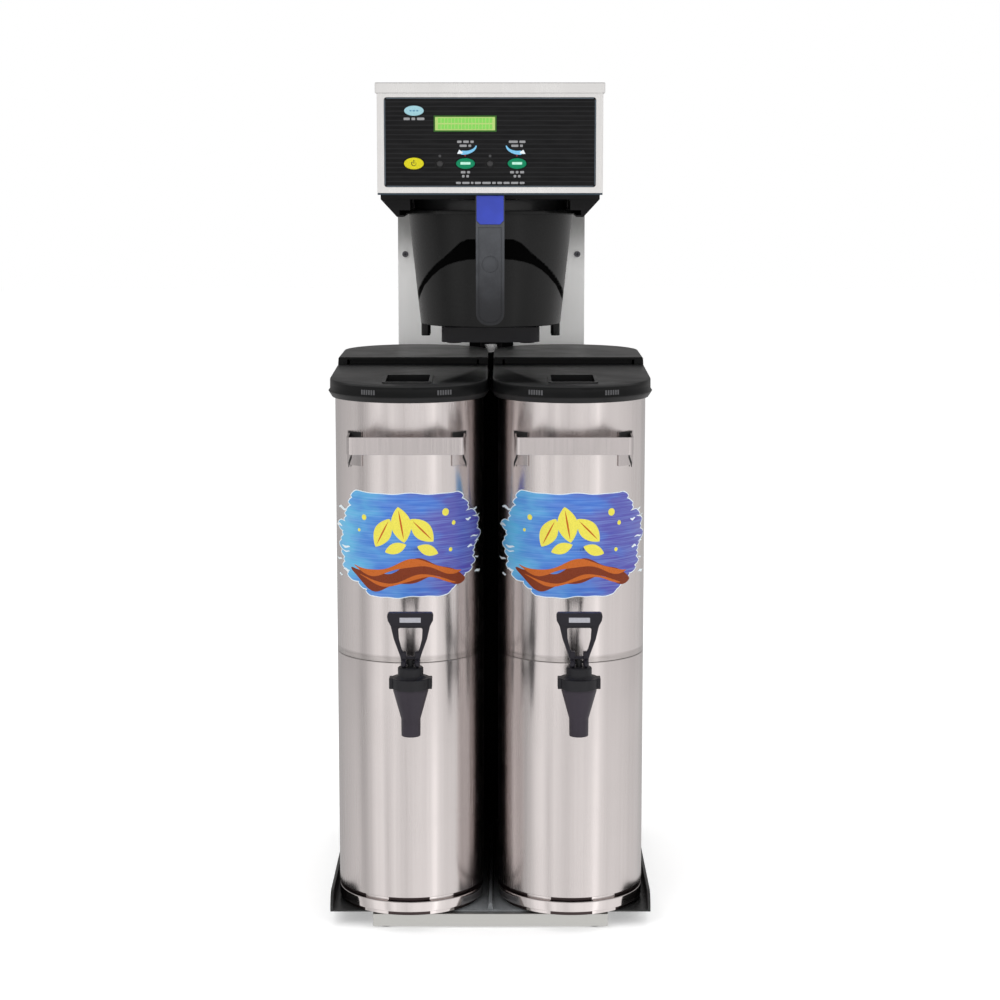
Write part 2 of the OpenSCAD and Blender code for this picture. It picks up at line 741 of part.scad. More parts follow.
// A flat strip bent back at both ends to feet that follow the round front
module carry_handle(side) {
    half = grip_w / 2;
    t = 2;
    grip_front = -disp_d / 2 - 20;
    bend = 6;
    low = 515.7;
    high = 533.9;
    centre = -disp_straight / 2;
    // where the strip's ends meet the front, as an angle from the side
    foot_a = acos((half - 1) / (disp_r + 0.8));
    color(steel) at_dispenser(side) {
        translate([0, 0, low]) linear_extrude(high - low) {
            translate([-half + bend, grip_front]) square([2 * (half - bend), t]);
            for (x = [0, 1]) mirror([x, 0]) {
                translate([half - bend, grip_front + bend]) intersection() {
                    difference() {
                        circle(bend);
                        circle(bend - t);
                    }
                    translate([0, -bend]) square(bend);
                }
                difference() {
                    translate([half - t, grip_front + bend]) square([t, centre - grip_front - bend]);
                    translate([0, centre]) circle(disp_r + 0.1);
                }
            }
        }
        translate([0, 0, low - 16.2]) linear_extrude(high - low + 17.5) intersection() {
            translate([0, centre]) difference() {
                circle(disp_r + 1.6);
                circle(disp_r + 0.02);
            }
            union() for (x = [-1, 1]) translate([0, centre])
                polygon([[0, 0], for (a = [foot_a - 3, foot_a + 13]) 100 * [x * cos(a), -sin(a)]]);
        }
    }
}

// The rear half of the lid, fixed on the reservoir's rim
module lid_rear(side) {
    ear = [70, 76];
    edge = 1.5;
    color(charcoal) at_dispenser(side) difference() {
        union() {
            intersection() {
                oval_sweep(disp_straight) polygon(concat(
                    [[0, lid_z - lid_t]], lid_edge(lid_z - lid_t),
                    arc([lid_top_r - edge, lid_z - edge], edge, 0, 90, 4),
                    [[0, lid_z]]));
                block([-100, hinge_y - disp_y + 3.4, 500], [100, 300, 700]);
            }
            for (x = [-1, 1]) hinge_ear(x * ear[0], x * ear[1], 11);
            // the wall across the lid, set back behind the pin
            block([-ear[0] - 1, hinge_y - disp_y + 9, hinge_z - 3],
                  [ear[0] + 1, hinge_y - disp_y + 11, lid_z - lid_t + 0.5]);
        }
        bar_x(hinge_y - disp_y, hinge_z, hinge_r, -90, 90);
    }
}

// The lower edge of a lid's section: the ledge in the mouth, the rim's seat and the flanged skirt
function lid_edge(under) = [
    [mouth_r - 2.2, under], [mouth_r - 2.2, rim_z - 8], [mouth_r, rim_z - 8], [mouth_r, rim_z + 0.1],
    [skirt_in, rim_z + 0.1], [skirt_in, skirt_low], [skirt_in + 1, skirt_low], [lid_r, rim_z - 0.6],
    [lid_top_r + 0.5, rim_z + 1.6], [lid_top_r + 0.4, lid_z - 8]];

// A hinge ear: a round eye on a web that reaches back or forward
module hinge_ear(xa, xb, reach) {
    y = hinge_y - disp_y;
    low = min(xa, xb);
    high = max(xa, xb);
    bar_x(y, hinge_z, 3, low, high);
    block([low, min(y, y + reach), hinge_z - 3], [high, max(y, y + reach), hinge_z + 3]);
}

// The front half of the lid, which lifts about the pin; its plate falls slightly to the front
module lid_flap(side) {
    top = lid_z - 7.4;
    under = rim_z + 7;
    flap_y = hinge_y - disp_y;
    back_rib = flap_y - 7;
    slot = [45, 62];
    slot_y = -disp_d / 2 + 53;
    color(charcoal) at_dispenser(side) difference() {
        union() {
            intersection() {
                oval_sweep(disp_straight) polygon(concat(
                    [[0, under]], lid_edge(under), [[lid_top_r, top + 3], [0, top + 3]]));
                falling(flap_y, top) oval_sweep(disp_straight) polygon([
                    [0, 500], [lid_r + 6, 500], [lid_r + 6, top - 6], [lid_top_r + 0.5, top - 1.6],
                    [lid_top_r + 0.1, top - 0.6], [lid_top_r - 0.8, top], [0, top]]);
                block([-100, -300, 500], [100, flap_y - 3.4, 700]);
            }
            for (x = [-1, 1]) hinge_ear(x * 62, x * 69.6, -6);
            // the raised rim of the filling slot
            falling(flap_y, top) translate([0, slot_y, top - 4])
                linear_extrude(5.6) round_rect(slot[0] + 7, slot[1] + 7, 5);
        }
        bar_x(flap_y, hinge_z, hinge_r + 0.08, -90, 90);
        translate([0, slot_y, top - 20]) linear_extrude(30) round_rect(slot[0], slot[1], 3);
        // the hollow under the plate
        intersection() {
            falling(flap_y, top) difference() {
                oval_sweep(disp_straight) polygon([[0, under - 3], [mouth_r - 2.8, under - 3],
                    [mouth_r - 2.8, top - lid_t], [0, top - lid_t]]);
                translate([0, slot_y, under - 4]) linear_extrude(12) round_rect(slot[0] + 4, slot[1] + 4, 4);
            }
            block([-100, -300, 500], [100, back_rib, 700]);
        }
    }
}

// Tilts what is drawn level so that it falls to the front from the line at y and z
module falling(y, z) {
    fall = 1.4;
    translate([0, y, z]) rotate([fall, 0, 0]) translate([0, -y, -z]) children();
}

module lid_pin(side) {
    color(steel) at_dispenser(side) bar_x(hinge_y - disp_y, hinge_z, hinge_r, -77, 77);
}

// Faucet: a hollow tapered barrel with a shank through the dispenser's front
module faucet_body(side) {
    collar_low = shank_z + 10;
    collar_top = collar_low + 11;
    color(black) at_faucet(side) difference() {
        union() {
            rotate_extrude() polygon([[0, spout_z], [9, spout_z], [9.8, spout_z + 1.2],
                [10, spout_z + 3], [10, shank_z - 22], [18.1, shank_z + 7.5], [18.1, collar_top],
                [0, collar_top]]);
            bar_y(0, shank_z, shank_r, 8, faucet_reach + 22);
            bar_y(0, shank_z, 15, faucet_reach - 2.6, faucet_reach - 0.1);
        }
        rotate_extrude() polygon([[0, spout_z - 1], [7, spout_z - 1], [7, shank_z - 13], [10.5, shank_z - 7],
            [13, collar_low + 2], [13, collar_top + 1], [0, collar_top + 1]]);
        bar_y(0, shank_z, 5.5, 4, faucet_reach + 23);
    }
}

// The nut and its washer, inside the reservoir
module faucet_nut(side) {
    color(charcoal) at_faucet(side) difference() {
        union() {
            bar_y(0, shank_z, 13, faucet_reach + 5.2, faucet_reach + 8);
            bar_y(0, shank_z, 15.5, faucet_reach + 8, faucet_reach + 16, $fn = 6);
        }
        bar_y(0, shank_z, shank_r + 0.05, faucet_reach + 3, faucet_reach + 17);
    }
}

// The winged cap on the barrel, with a flat top that the lever rocks on
module faucet_bonnet(side) {
    low = shank_z + 10.2;
    band = low + 11.2;
    flat = pin_z - 4.4;
    color(black) at_faucet(side) difference() {
        union() {
            rotate_extrude() polygon([[0, low], [20, low], [20, band], [16.5, band], [13.1, band + 2.2],
                [13.1, flat - 1.2], [11.9, flat], [0, flat]]);
            for (x = [-1, 1]) block([x * 18.2 - 3.8, -7, low], [x * 18.2 + 3.8, 7, band]);
        }
        translate([0, 0, low - 1]) cylinder(h = 11.9, r = 18.15);
        translate([0, 0, low]) cylinder(h = 15, r = 11);
        translate([0, 0, low]) cylinder(h = 40, r = 3.4);
    }
}

// The soft cup that closes the barrel, on a stem that carries the lever's pin
module faucet_seat(side) {
    cup = shank_z - 11.6;
    color([0.75, 0.75, 0.73]) at_faucet(side) {
        rotate_extrude() polygon([[0, cup], [6, cup], [8.4, cup + 5], [9, cup + 10], [8.2, cup + 10],
            [7, cup + 7], [3, cup + 8], [3, pin_z + 2.4], [0, pin_z + 2.4]]);
        bar_x(0, pin_z, pin_r, -9, 9);
    }
}

// The loop that is pulled, on a forked foot whose round heel rocks on the cap
module faucet_lever(side) {
    top = pin_z + 52.4;
    heel_r = 3.9;
    heel_reach = seat_lift / sin(40);
    fork = [4.2, 9.8];
    color(black) at_faucet(side) difference() {
        union() {
            upright(-3.2, 3.2) difference() {
                loop_outline(top);
                mirror([1, 0]) loop_hole(top);
                loop_hole(top);
            }
            // the bar at the top is deeper, for the thumb
            block([-22.8, -5.4, top - 13.6], [22.8, 3.2, top - 0.6]);
            for (x = [0, 1]) mirror([x, 0, 0]) {
                block([fork[0], -heel_r, pin_z], [fork[1], heel_r, pin_z + 7]);
                hull() {
                    bar_x(0, pin_z, heel_r, fork[0], fork[1], $fn = 32);
                    bar_x(-heel_reach, pin_z, heel_r, fork[0], fork[1], $fn = 32);
                }
            }
        }
        bar_x(0, pin_z, pin_r + 0.08, -12, 12);
        block([-fork[0], -20, pin_z - 10], [fork[0], 20, pin_z + 4]);
    }
}

// The lever's outline is wide at the thumb bar and drawn in to the fork
module loop_outline(top) {
    half = [[23.5, -1.5], [23.5, -8.5], [20.8, -12.5], [19.3, -20], [17, -28], [14.2, -36],
        [11.3, -44], [9.8, -49]];
    polygon(concat([[22, top]], [for (p = half) [p[0], top + p[1]]],
        [for (i = [len(half) - 1:-1:0]) [-half[i][0], top + half[i][1]]], [[-22, top]]));
}

module loop_hole(top) {
    polygon([[-0.1, top - 16.5], [12.4, top - 16.5], [11.8, top - 28], [9.9, top - 36],
        [6.6, top - 43], [5, top - 46], [-0.1, top - 46]]);
}

base_pan();
base_feet();
dispenser_tray();
trunk_shell();
trunk_back_cover();
trunk_screws();
dispenser_stop();
stop_plate();
hood_shell();
hood_top_cover();
control_panel();
display_window();
status_lamp();
key_sensors();
power_button();
brew_button_left();
brew_button_right();
control_board();
rail_plate();
cone_rail(-1);  // cone_rail_left
cone_rail(1);  // cone_rail_right
sprayhead();
spray_tube();
brew_cone();
cone_handle();
handle_insert();
filter_basket();
cone_outlet();
water_tank();
tank_lid();
heating_element();
level_probe();
dump_valve();
inlet_valve();
inlet_fitting();
power_gland();
reservoir(-1);  // reservoir_left
skirt(-1);  // skirt_left
foot_ring(-1);  // foot_ring_left
carry_handle(-1);  // carry_handle_left
lid_rear(-1);  // lid_rear_left
lid_flap(-1);  // lid_flap_left
lid_pin(-1);  // lid_pin_left
faucet_body(-1);  // faucet_body_left
faucet_nut(-1);  // faucet_nut_left
faucet_bonnet(-1);  // faucet_bonnet_left
faucet_seat(-1);  // faucet_seat_left
faucet_lever(-1);  // faucet_lever_left
reservoir(1);  // reservoir_right
skirt(1);  // skirt_right
foot_ring(1);  // foot_ring_right
carry_handle(1);  // carry_handle_right
lid_rear(1);  // lid_rear_right
lid_flap(1);  // lid_flap_right
lid_pin(1);  // lid_pin_right
faucet_body(1);  // faucet_body_right
faucet_nut(1);  // faucet_nut_right
faucet_bonnet(1);  // faucet_bonnet_right
faucet_seat(1);  // faucet_seat_right
faucet_lever(1);  // faucet_lever_right
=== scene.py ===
import json
import math

import bmesh
import bpy
import numpy as np
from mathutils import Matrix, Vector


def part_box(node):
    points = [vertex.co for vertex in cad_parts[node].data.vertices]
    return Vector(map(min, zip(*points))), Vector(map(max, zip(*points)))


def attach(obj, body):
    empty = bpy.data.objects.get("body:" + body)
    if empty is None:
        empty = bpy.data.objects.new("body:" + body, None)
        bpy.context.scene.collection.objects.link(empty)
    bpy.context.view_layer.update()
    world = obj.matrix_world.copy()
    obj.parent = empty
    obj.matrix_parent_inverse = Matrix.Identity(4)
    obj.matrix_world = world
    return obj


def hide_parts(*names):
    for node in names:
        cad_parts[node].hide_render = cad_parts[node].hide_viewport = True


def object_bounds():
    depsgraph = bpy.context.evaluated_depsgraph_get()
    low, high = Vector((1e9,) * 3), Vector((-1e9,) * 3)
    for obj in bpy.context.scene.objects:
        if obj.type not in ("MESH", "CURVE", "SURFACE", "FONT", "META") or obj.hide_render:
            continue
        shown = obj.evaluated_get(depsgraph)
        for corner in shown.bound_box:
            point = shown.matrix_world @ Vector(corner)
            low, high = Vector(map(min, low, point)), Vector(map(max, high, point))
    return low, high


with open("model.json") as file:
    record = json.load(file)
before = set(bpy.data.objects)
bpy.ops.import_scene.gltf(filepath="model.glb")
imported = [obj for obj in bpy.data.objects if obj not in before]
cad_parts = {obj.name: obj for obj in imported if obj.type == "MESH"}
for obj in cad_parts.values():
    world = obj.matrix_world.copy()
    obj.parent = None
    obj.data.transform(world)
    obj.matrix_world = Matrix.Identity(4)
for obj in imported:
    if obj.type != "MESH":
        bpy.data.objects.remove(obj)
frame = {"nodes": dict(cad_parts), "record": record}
nodes = frame["nodes"]
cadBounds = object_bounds()
mm = 0.001
sides = ("left", "right")

# The camera stands where the photographer stood: level with the hood, pitched a little down
cameraSetup = {"place": (0.0103, -2.667, 0.8206), "pitch": 8.4, "lens": 84.24}


def placed(name, data):
    made = bpy.data.objects.new(name, data)
    bpy.context.scene.collection.objects.link(made)
    return made


def aimCamera(setup):
    camera = placed("studioCamera", bpy.data.cameras.new("studioCamera"))
    camera.data.lens = setup["lens"]
    camera.data.sensor_width = 36
    camera.location = setup["place"]
    camera.rotation_euler = (math.radians(90 - setup["pitch"]), 0, 0)
    bpy.context.scene.camera = camera


aimCamera(cameraSetup)
print("camera ready")


# Node trees

def feed(made, key, value):
    # links a socket to one input of a node, or writes a value there; a colour comes without its alpha
    target = made.inputs[key]
    if isinstance(value, bpy.types.NodeSocket):
        made.id_data.links.new(value, target)
    else:
        target.default_value = (*value, 1.0) if target.type == "RGBA" else value


def addNode(tree, kind, inputs=None, **fields):
    # adds a node, sets its fields, and links or fills its inputs
    made = tree.nodes.new(kind)
    for key, value in fields.items():
        setattr(made, key, value)
    for key, value in (inputs or {}).items():
        feed(made, key, value)
    return made


def maths(a, operation, b):
    return addNode(a.id_data, "ShaderNodeMath", {0: a, 1: b}, operation=operation).outputs[0]


def times(a, b):
    return maths(a, "MULTIPLY", b)


def plus(a, b):
    return maths(a, "ADD", b)


def between(value, low, high, toLow=0.0, toHigh=1.0):
    # carries a value smoothly from one range to another
    return addNode(value.id_data, "ShaderNodeMapRange", {"Value": value, "From Min": low, "From Max": high,
        "To Min": toLow, "To Max": toHigh}, interpolation_type="SMOOTHSTEP").outputs["Result"]


def swing(noise, low=0.0, high=1.0):
    # the middle part of a noise, spread over a range
    return between(noise, 0.3, 0.7, low, high)


def mixColours(factor, first, second):
    return addNode(factor.id_data, "ShaderNodeMix", {0: factor, 6: first, 7: second}, data_type="RGBA").outputs[2]


def axesOf(place):
    return addNode(place.id_data, "ShaderNodeSeparateXYZ", {"Vector": place}).outputs


def stretchedNoise(place, scale, detail=3.0):
    # noise on object coordinates, with its own number of grains per metre along each axis
    spread = addNode(place.id_data, "ShaderNodeMapping", {"Vector": place, "Scale": scale})
    return addNode(place.id_data, "ShaderNodeTexNoise", {"Vector": spread.outputs[0], "Scale": 1.0,
        "Detail": detail, "Roughness": 0.55}).outputs["Fac"]


def freshMaterial(name, metallic=0.0, specular=0.5):
    material = bpy.data.materials.new(name)
    material.use_nodes = True
    shader = material.node_tree.nodes["Principled BSDF"]
    feed(shader, "Metallic", metallic)
    feed(shader, "Specular IOR Level", specular)
    return material, shader, addNode(material.node_tree, "ShaderNodeTexCoord").outputs["Object"]


def reworked(name, recolour):
    # passes a finish's colour through recolour(place, axes, ground)
    shader = finishes[name].node_tree.nodes["Principled BSDF"]
    place = addNode(shader.id_data, "ShaderNodeTexCoord").outputs["Object"]
    ground = shader.inputs["Base Color"].links[0].from_socket
    feed(shader, "Base Color", recolour(place, axesOf(place), ground))


def mottled(shader, noise, colour, down, up):
    # a base colour that drifts with a noise between a darker and a lighter tone
    dark, light = (tuple(min(1.0, c * share) for c in colour) for share in (down, up))
    tint = mixColours(swing(noise), dark, light)
    feed(shader, "Base Color", tint)
    return tint


def bumpFrom(height, shader, strength, distance):
    bump = addNode(shader.id_data, "ShaderNodeBump", {"Height": height, "Strength": strength, "Distance": distance})
    feed(shader, "Normal", bump.outputs["Normal"])


def brushedSteel(name, colour, roughness, grain, spread=0.05, depth=0.00004, metallic=1.0, upright=0.0):
    # fine lines along the grain shift the tone, the roughness and the height; a slow cloud adds handling marks;
    # an upright share draws reflections out up and down, as steel polished round its girth does
    material, shader, place = freshMaterial(name, metallic)
    lines = stretchedNoise(place, grain, 4.0)
    streaks = stretchedNoise(place, tuple(g / 9 for g in grain), 2.0)
    cloud = stretchedNoise(place, (14, 14, 14))
    mottled(shader, plus(times(lines, 0.6), times(streaks, 0.4)), colour, 1 - spread, 1 + spread)
    gloss = swing(lines, roughness * 0.85, roughness * 1.15)
    feed(shader, "Roughness", plus(gloss, between(cloud, 0.35, 0.65, -0.015, 0.02)))
    bumpFrom(lines, shader, 0.12, depth)
    if upright:
        feed(shader, "Anisotropic", upright)
        feed(shader, "Anisotropic Rotation", 0.25)
        girth = addNode(shader.id_data, "ShaderNodeTangent", direction_type="RADIAL", axis="Z")
        feed(shader, "Tangent", girth.outputs[0])
    return material


def mouldedPlastic(name, colour, roughness, specular=0.5, grain=2400, depth=0.00006):
    # a fine leathery grain in the height, with a slow drift of tone and gloss
    material, shader, place = freshMaterial(name, 0.0, specular)
    fine = stretchedNoise(place, (grain,) * 3, 2.0)
    drift = stretchedNoise(place, (28,) * 3)
    mottled(shader, drift, colour, 0.88, 1.12)
    feed(shader, "Roughness", plus(swing(drift, roughness - 0.03, roughness + 0.03), swing(fine, -0.02, 0.02)))
    bumpFrom(fine, shader, 0.35, depth)
    return material


def panelFilm(name):
    # printed film: black ground with fine level lines, one every pitch, and a soft gloss
    pitch, width = 0.0048, 0.18
    material, shader, place = freshMaterial(name, 0.0, 0.1)
    phase = maths(maths(axesOf(place)["Z"], "DIVIDE", pitch), "FRACT", 0.0)
    line = maths(between(phase, 0.0, width), "SUBTRACT", between(phase, width, 2 * width))
    drift = stretchedNoise(place, (40, 40, 300), 2.0)
    ground = mixColours(swing(drift), (0.006, 0.006, 0.0065), (0.01, 0.01, 0.0105))
    feed(shader, "Base Color", mixColours(line, ground, (0.019, 0.019, 0.0205)))
    grain = stretchedNoise(place, (3000,) * 3, 2.0)
    feed(shader, "Roughness", swing(grain, 0.38, 0.46))
    bumpFrom(grain, shader, 0.2, 0.00003)
    return material


def inkColour(name, colour, roughness=0.45, glow=0.0):
    # screen-printed ink or a tinted window: a slight mottle, and a glow where it is lit from behind
    material, shader, place = freshMaterial(name, 0.0, 0.18)
    mottle = stretchedNoise(place, (900,) * 3, 2.0)
    tint = mottled(shader, mottle, colour, 0.93, 1.05)
    feed(shader, "Roughness", swing(mottle, roughness - 0.04, roughness + 0.04))
    if glow:
        feed(shader, "Emission Color", tint)
        feed(shader, "Emission Strength", glow)
    return material


vertical, level = (2600, 2600, 18), (18, 2600, 2600)
steels = {  # colour, roughness, grain, spread of tone, depth of the lines, metallic, upright share
    "stainless": ((0.51, 0.475, 0.47), 0.2, vertical, 0.035),
    "hood_steel": ((0.71, 0.705, 0.695), 0.3, vertical, 0.012, 0.00001),
    "inner_steel": ((0.62, 0.62, 0.62), 0.3, level),
    "chrome_wire": ((0.82, 0.82, 0.84), 0.14, (900, 900, 900), 0.03),
    "heater_sheath": ((0.3, 0.25, 0.22), 0.45, (300, 300, 300), 0.15),
    "brass": ((0.75, 0.56, 0.26), 0.24, (2600, 60, 2600)),
    "dark_screws": ((0.09, 0.09, 0.1), 0.35, (900, 900, 900), 0.1),
    "platePolish": ((0.85, 0.85, 0.85), 0.2, level),
    "columnSteel": ((0.96, 0.96, 0.95), 0.4, vertical, 0.012, 0.00001, 0.4),
    "panSteel": ((0.52, 0.52, 0.5), 0.34, level, 0.012, 0.00001),
    "girthSteel": ((0.6, 0.56, 0.552), 0.23, vertical, 0.03, 0.00004, 1.0, 0.75),
    "footSteel": ((0.66, 0.615, 0.605), 0.12, vertical, 0.03),
    # painted shade and reflection for the foot ring's drawn-in waist
    "pressedDark": ((0.07, 0.052, 0.052), 0.5, level, 0.1),
}
plastics = {  # colour, roughness, specular, grain, depth of the grain
    "black_plastic": ((0.01, 0.0098, 0.0125), 0.42, 0.28),
    "lid_plastic": ((0.006, 0.0062, 0.0064), 0.36, 0.13, 1800),
    "handle_grey": ((0.05, 0.052, 0.057), 0.46, 0.25),
    "insert_blue": ((0.035, 0.06, 0.44), 0.38, 0.35),
    "smoked_lens": ((0.008, 0.008, 0.009), 0.2, 0.5, 2400, 0.00001),
    "board_green": ((0.02, 0.14, 0.06), 0.4),
    "white_plastic": ((0.75, 0.75, 0.72), 0.42),
    "silicone": ((0.02, 0.02, 0.021), 0.6, 0.2),
    "foot_rubber": ((0.015, 0.015, 0.015), 0.7),
    "trayBlack": ((0.028, 0.028, 0.028), 0.3, 0.3, 1800),
    "bufferBlack": ((0.002, 0.002, 0.002), 0.7, 0.08),
    "carrierBlack": ((0.011, 0.011, 0.0115), 0.6, 0.12),
    "railBlack": ((0.008, 0.008, 0.0085), 0.5, 0.12),
    "gripGrey": ((0.03, 0.031, 0.035), 0.46, 0.25),
    "flapBlack": ((0.006, 0.0062, 0.0064), 0.36, 0.13, 1800),
    "ribGrey": ((0.09, 0.09, 0.095), 0.5, 0.3),
    "faucetBlack": ((0.028, 0.022, 0.032), 0.42, 0.28),
    "leverBlack": ((0.01, 0.0088, 0.0145), 0.36, 0.28),
    "coneBlack": ((0.007, 0.0072, 0.0072), 0.26, 0.19, 2000, 0.00004),
    "archBlack": ((0.0012, 0.0012, 0.0012), 0.85, 0.02, 2000, 0.00005),
}
inks = {  # colour, roughness, glow
    "display_green": ((0.37, 0.52, 0.155), 0.3, 0.2),
    "displayFrame": ((0.035, 0.12, 0.02), 0.35, 0.1),
    "displayCell": ((0.19, 0.52, 0.09), 0.35, 0.22),
    "lamp_blue": ((0.3, 0.52, 0.58), 0.35, 0.1),
    "lampShade": ((0.12, 0.3, 0.45),),
    "key_yellow": ((0.66, 0.6, 0.016), 0.4),
    "key_green": ((0.003, 0.22, 0.1), 0.4),
    "plateGrey": ((0.42, 0.42, 0.46),),
    "printGrey": ((0.3, 0.3, 0.31),),
    "printFaint": ((0.06, 0.06, 0.063),),
    "printSky": ((0.2, 0.52, 0.78),),
    "printWhite": ((0.8, 0.86, 0.9),),
    "printRed": ((0.3, 0.03, 0.04),),
    "printEdge": ((0.1, 0.125, 0.15),),
    "printMint": ((0.5, 0.85, 0.7),),
    "printDark": ((0.03, 0.03, 0.02),),
    "ringBlack": ((0.006, 0.006, 0.006),),
    "hemShade": ((0.03, 0.045, 0.06),),
    "recessBlack": ((0.004, 0.004, 0.004),),
    "decalAmber": ((0.2, 0.035, 0.01), 0.3),
    "decalCopper": ((0.55, 0.13, 0.02), 0.3),
    "decalLeaf": ((0.82, 0.74, 0.1), 0.35),
    "decalPale": ((0.78, 0.86, 0.9), 0.35),
}
finishes = {"panel_black": panelFilm("panelFilm")}
for make, rows in ((brushedSteel, steels), (mouldedPlastic, plastics), (inkColour, inks)):
    finishes.update({name: make(name, *row) for name, row in rows.items()})
slotOf = {row["node"]: row["material_slot"] for row in frame["record"]["subparts"]}
bodyOf = {node: body for body, members in frame["record"]["behaviour"]["bodies"].items() for node in members}
print("finishes ready")


# Surfaces

def surfaceOf(*grids):
    # joins grids, each (points rows x columns x 3, wrapRows, wrapColumns), into one list of points and one of
    # four-sided faces between neighbouring points
    points, faces, start = [], [], 0
    for grid, wrapRows, wrapColumns in grids:
        rows, columns = grid.shape[:2]
        i, j = np.meshgrid(np.arange(rows - (not wrapRows)), np.arange(columns - (not wrapColumns)), indexing="ij")
        nextI, nextJ = (i + 1) % rows, (j + 1) % columns
        corners = [i * columns + j, nextI * columns + j, nextI * columns + nextJ, i * columns + nextJ]
        points.append(grid.reshape(-1, 3))
        faces.append(np.stack(corners, -1).reshape(-1, 4) + start)
        start += rows * columns
    return np.concatenate(points), np.concatenate(faces)


def readAll(rows, field, width=1, kind=float):
    # one field of every row of a mesh's list, as an array
    values = np.empty(len(rows) * width, kind)
    rows.foreach_get(field, values)
    return values.reshape(-1, width) if width > 1 else values


def makePiece(name, grids, finish, body, standsFor=(), sharpAngle=35, values=None, closed=True):
    # puts computed grids (millimetres) into a mesh, welds its seams and turns its faces outwards
    points, faces = surfaceOf(*grids)
    mesh = bpy.data.meshes.new(name)
    mesh.from_pydata((points * mm).tolist(), [], faces.tolist())
    if values is not None:
        mesh.attributes.new("depth", "FLOAT", "POINT").data.foreach_set("value", values.astype(np.float32))
    shape = bmesh.new()
    shape.from_mesh(mesh)
    bmesh.ops.remove_doubles(shape, verts=shape.verts, dist=2e-6)
    bmesh.ops.dissolve_degenerate(shape, edges=shape.edges, dist=1e-6)
    if closed:
        bmesh.ops.recalc_face_normals(shape, faces=shape.faces)
    shape.to_mesh(mesh)
    shape.free()
    mesh.shade_smooth()
    mesh.set_sharp_from_angle(angle=math.radians(sharpAngle))
    piece = placed(name, mesh)
    mesh.materials.append(finishes[finish])
    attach(piece, body)
    if standsFor:
        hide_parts(*standsFor)
    return piece


def darkened(mesh, finish, chosen):
    # gives the chosen faces a finish of their own
    mesh.materials.append(finishes[finish])
    mesh.polygons.foreach_set("material_index", chosen.astype(int))


def softened(node, edge, segments=2, angle=32):
    # a copy of a sheet or moulded node whose edges are rounded, as folded sheet and mouldings are
    mesh = nodes[node].data.copy()
    shape = bmesh.new()
    shape.from_mesh(mesh)
    bmesh.ops.remove_doubles(shape, verts=shape.verts, dist=2e-6)
    bmesh.ops.dissolve_limit(shape, angle_limit=math.radians(0.4), verts=shape.verts, edges=shape.edges)
    shape.to_mesh(mesh)
    shape.free()
    mesh.shade_smooth()
    mesh.set_sharp_from_angle(angle=math.radians(angle))
    piece = placed(node + "_dressed", mesh)
    bevel = piece.modifiers.new("edges", "BEVEL")
    bevel.width = edge * mm
    bevel.segments = segments
    bevel.limit_method = "ANGLE"
    bevel.angle_limit = math.radians(angle)
    bevel.harden_normals = True
    mesh.materials.clear()
    mesh.materials.append(finishes[slotOf[node]])
    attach(piece, bodyOf[node])
    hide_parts(node)
    return piece


def roundCorners(corners, steps=4, closed=True):
    # an outline whose corners (a, b, radius) become short curves from side to side
    place = np.array([c[:2] for c in corners], float)
    radius = np.array([c[2] if len(c) > 2 else 0.0 for c in corners])
    before, after = np.roll(place, 1, 0) - place, np.roll(place, -1, 0) - place
    lengthBefore, lengthAfter = np.linalg.norm(before, axis=1), np.linalg.norm(after, axis=1)
    before, after = before / lengthBefore[:, None], after / lengthAfter[:, None]
    half = np.arccos(np.clip((before * after).sum(1), -0.9999, 0.9999)) / 2
    reach = np.minimum(radius / np.tan(half), 0.48 * np.minimum(lengthBefore, lengthAfter))
    if not closed:
        reach[[0, -1]] = 0
    t = np.linspace(0, 1, steps + 1)[None, :, None]
    start, end, middle = place + before * reach[:, None], place + after * reach[:, None], place
    curve = ((1 - t) ** 2 * start[:, None] + 2 * t * (1 - t) * middle[:, None] + t ** 2 * end[:, None])
    sharp = reach < 1e-6
    return np.concatenate([curve[k, :1] if sharp[k] else curve[k] for k in range(len(corners))])


def joined(*axes):
    # coordinates that broadcast to one shape, side by side as points
    return np.stack(np.broadcast_arrays(*axes), -1)


def capped(rings):
    # closes a tube of rings with a point in the middle of each end ring
    caps = [np.broadcast_to(rings[k].mean(0), rings[k].shape)[None] for k in (0, -1)]
    return np.concatenate([caps[0], rings, caps[1]]), False, True


def carried(profile, centres, directions):
    # carries a profile of (reach, height) round a plan: each plan point is a centre and an outward direction
    across, along = (centres[:, k, None] + directions[:, k, None] * profile[:, 0] for k in (0, 1))
    return joined(across, along, profile[:, 1])


def turned(profile, centre, steps=64, fromAngle=0.0, toAngle=360.0):
    # a full turn, or a part of one, of a profile round an upright axis
    angle = np.radians(np.linspace(fromAngle, toAngle, steps, endpoint=toAngle - fromAngle < 360))
    directions = joined(np.cos(angle), np.sin(angle))
    return carried(profile, np.broadcast_to(np.array(centre, float), directions.shape), directions)


def superCircle(angle, power):
    # a circle squared up: power 1 is round, lower is squarer
    c, s = np.cos(angle), np.sin(angle)
    return np.sign(c) * np.abs(c) ** power, np.sign(s) * np.abs(s) ** power


def bent(axis, turn, reach, height):
    # points round an upright axis, by their angle from the front in degrees
    turn = np.radians(turn)
    return joined(axis[0] + reach * np.sin(turn), axis[1] - reach * np.cos(turn), height)


def curvedPad(axis, turn, lower, upper, inner, outer):
    # a slab bent round an upright axis, between two reaches; lower and upper are its edges at each angle from the front
    corners = ((inner, lower), (outer, lower), (outer, upper), (inner, upper))
    return capped(np.stack([bent(axis, turn, reach, z) for reach, z in corners], 1))


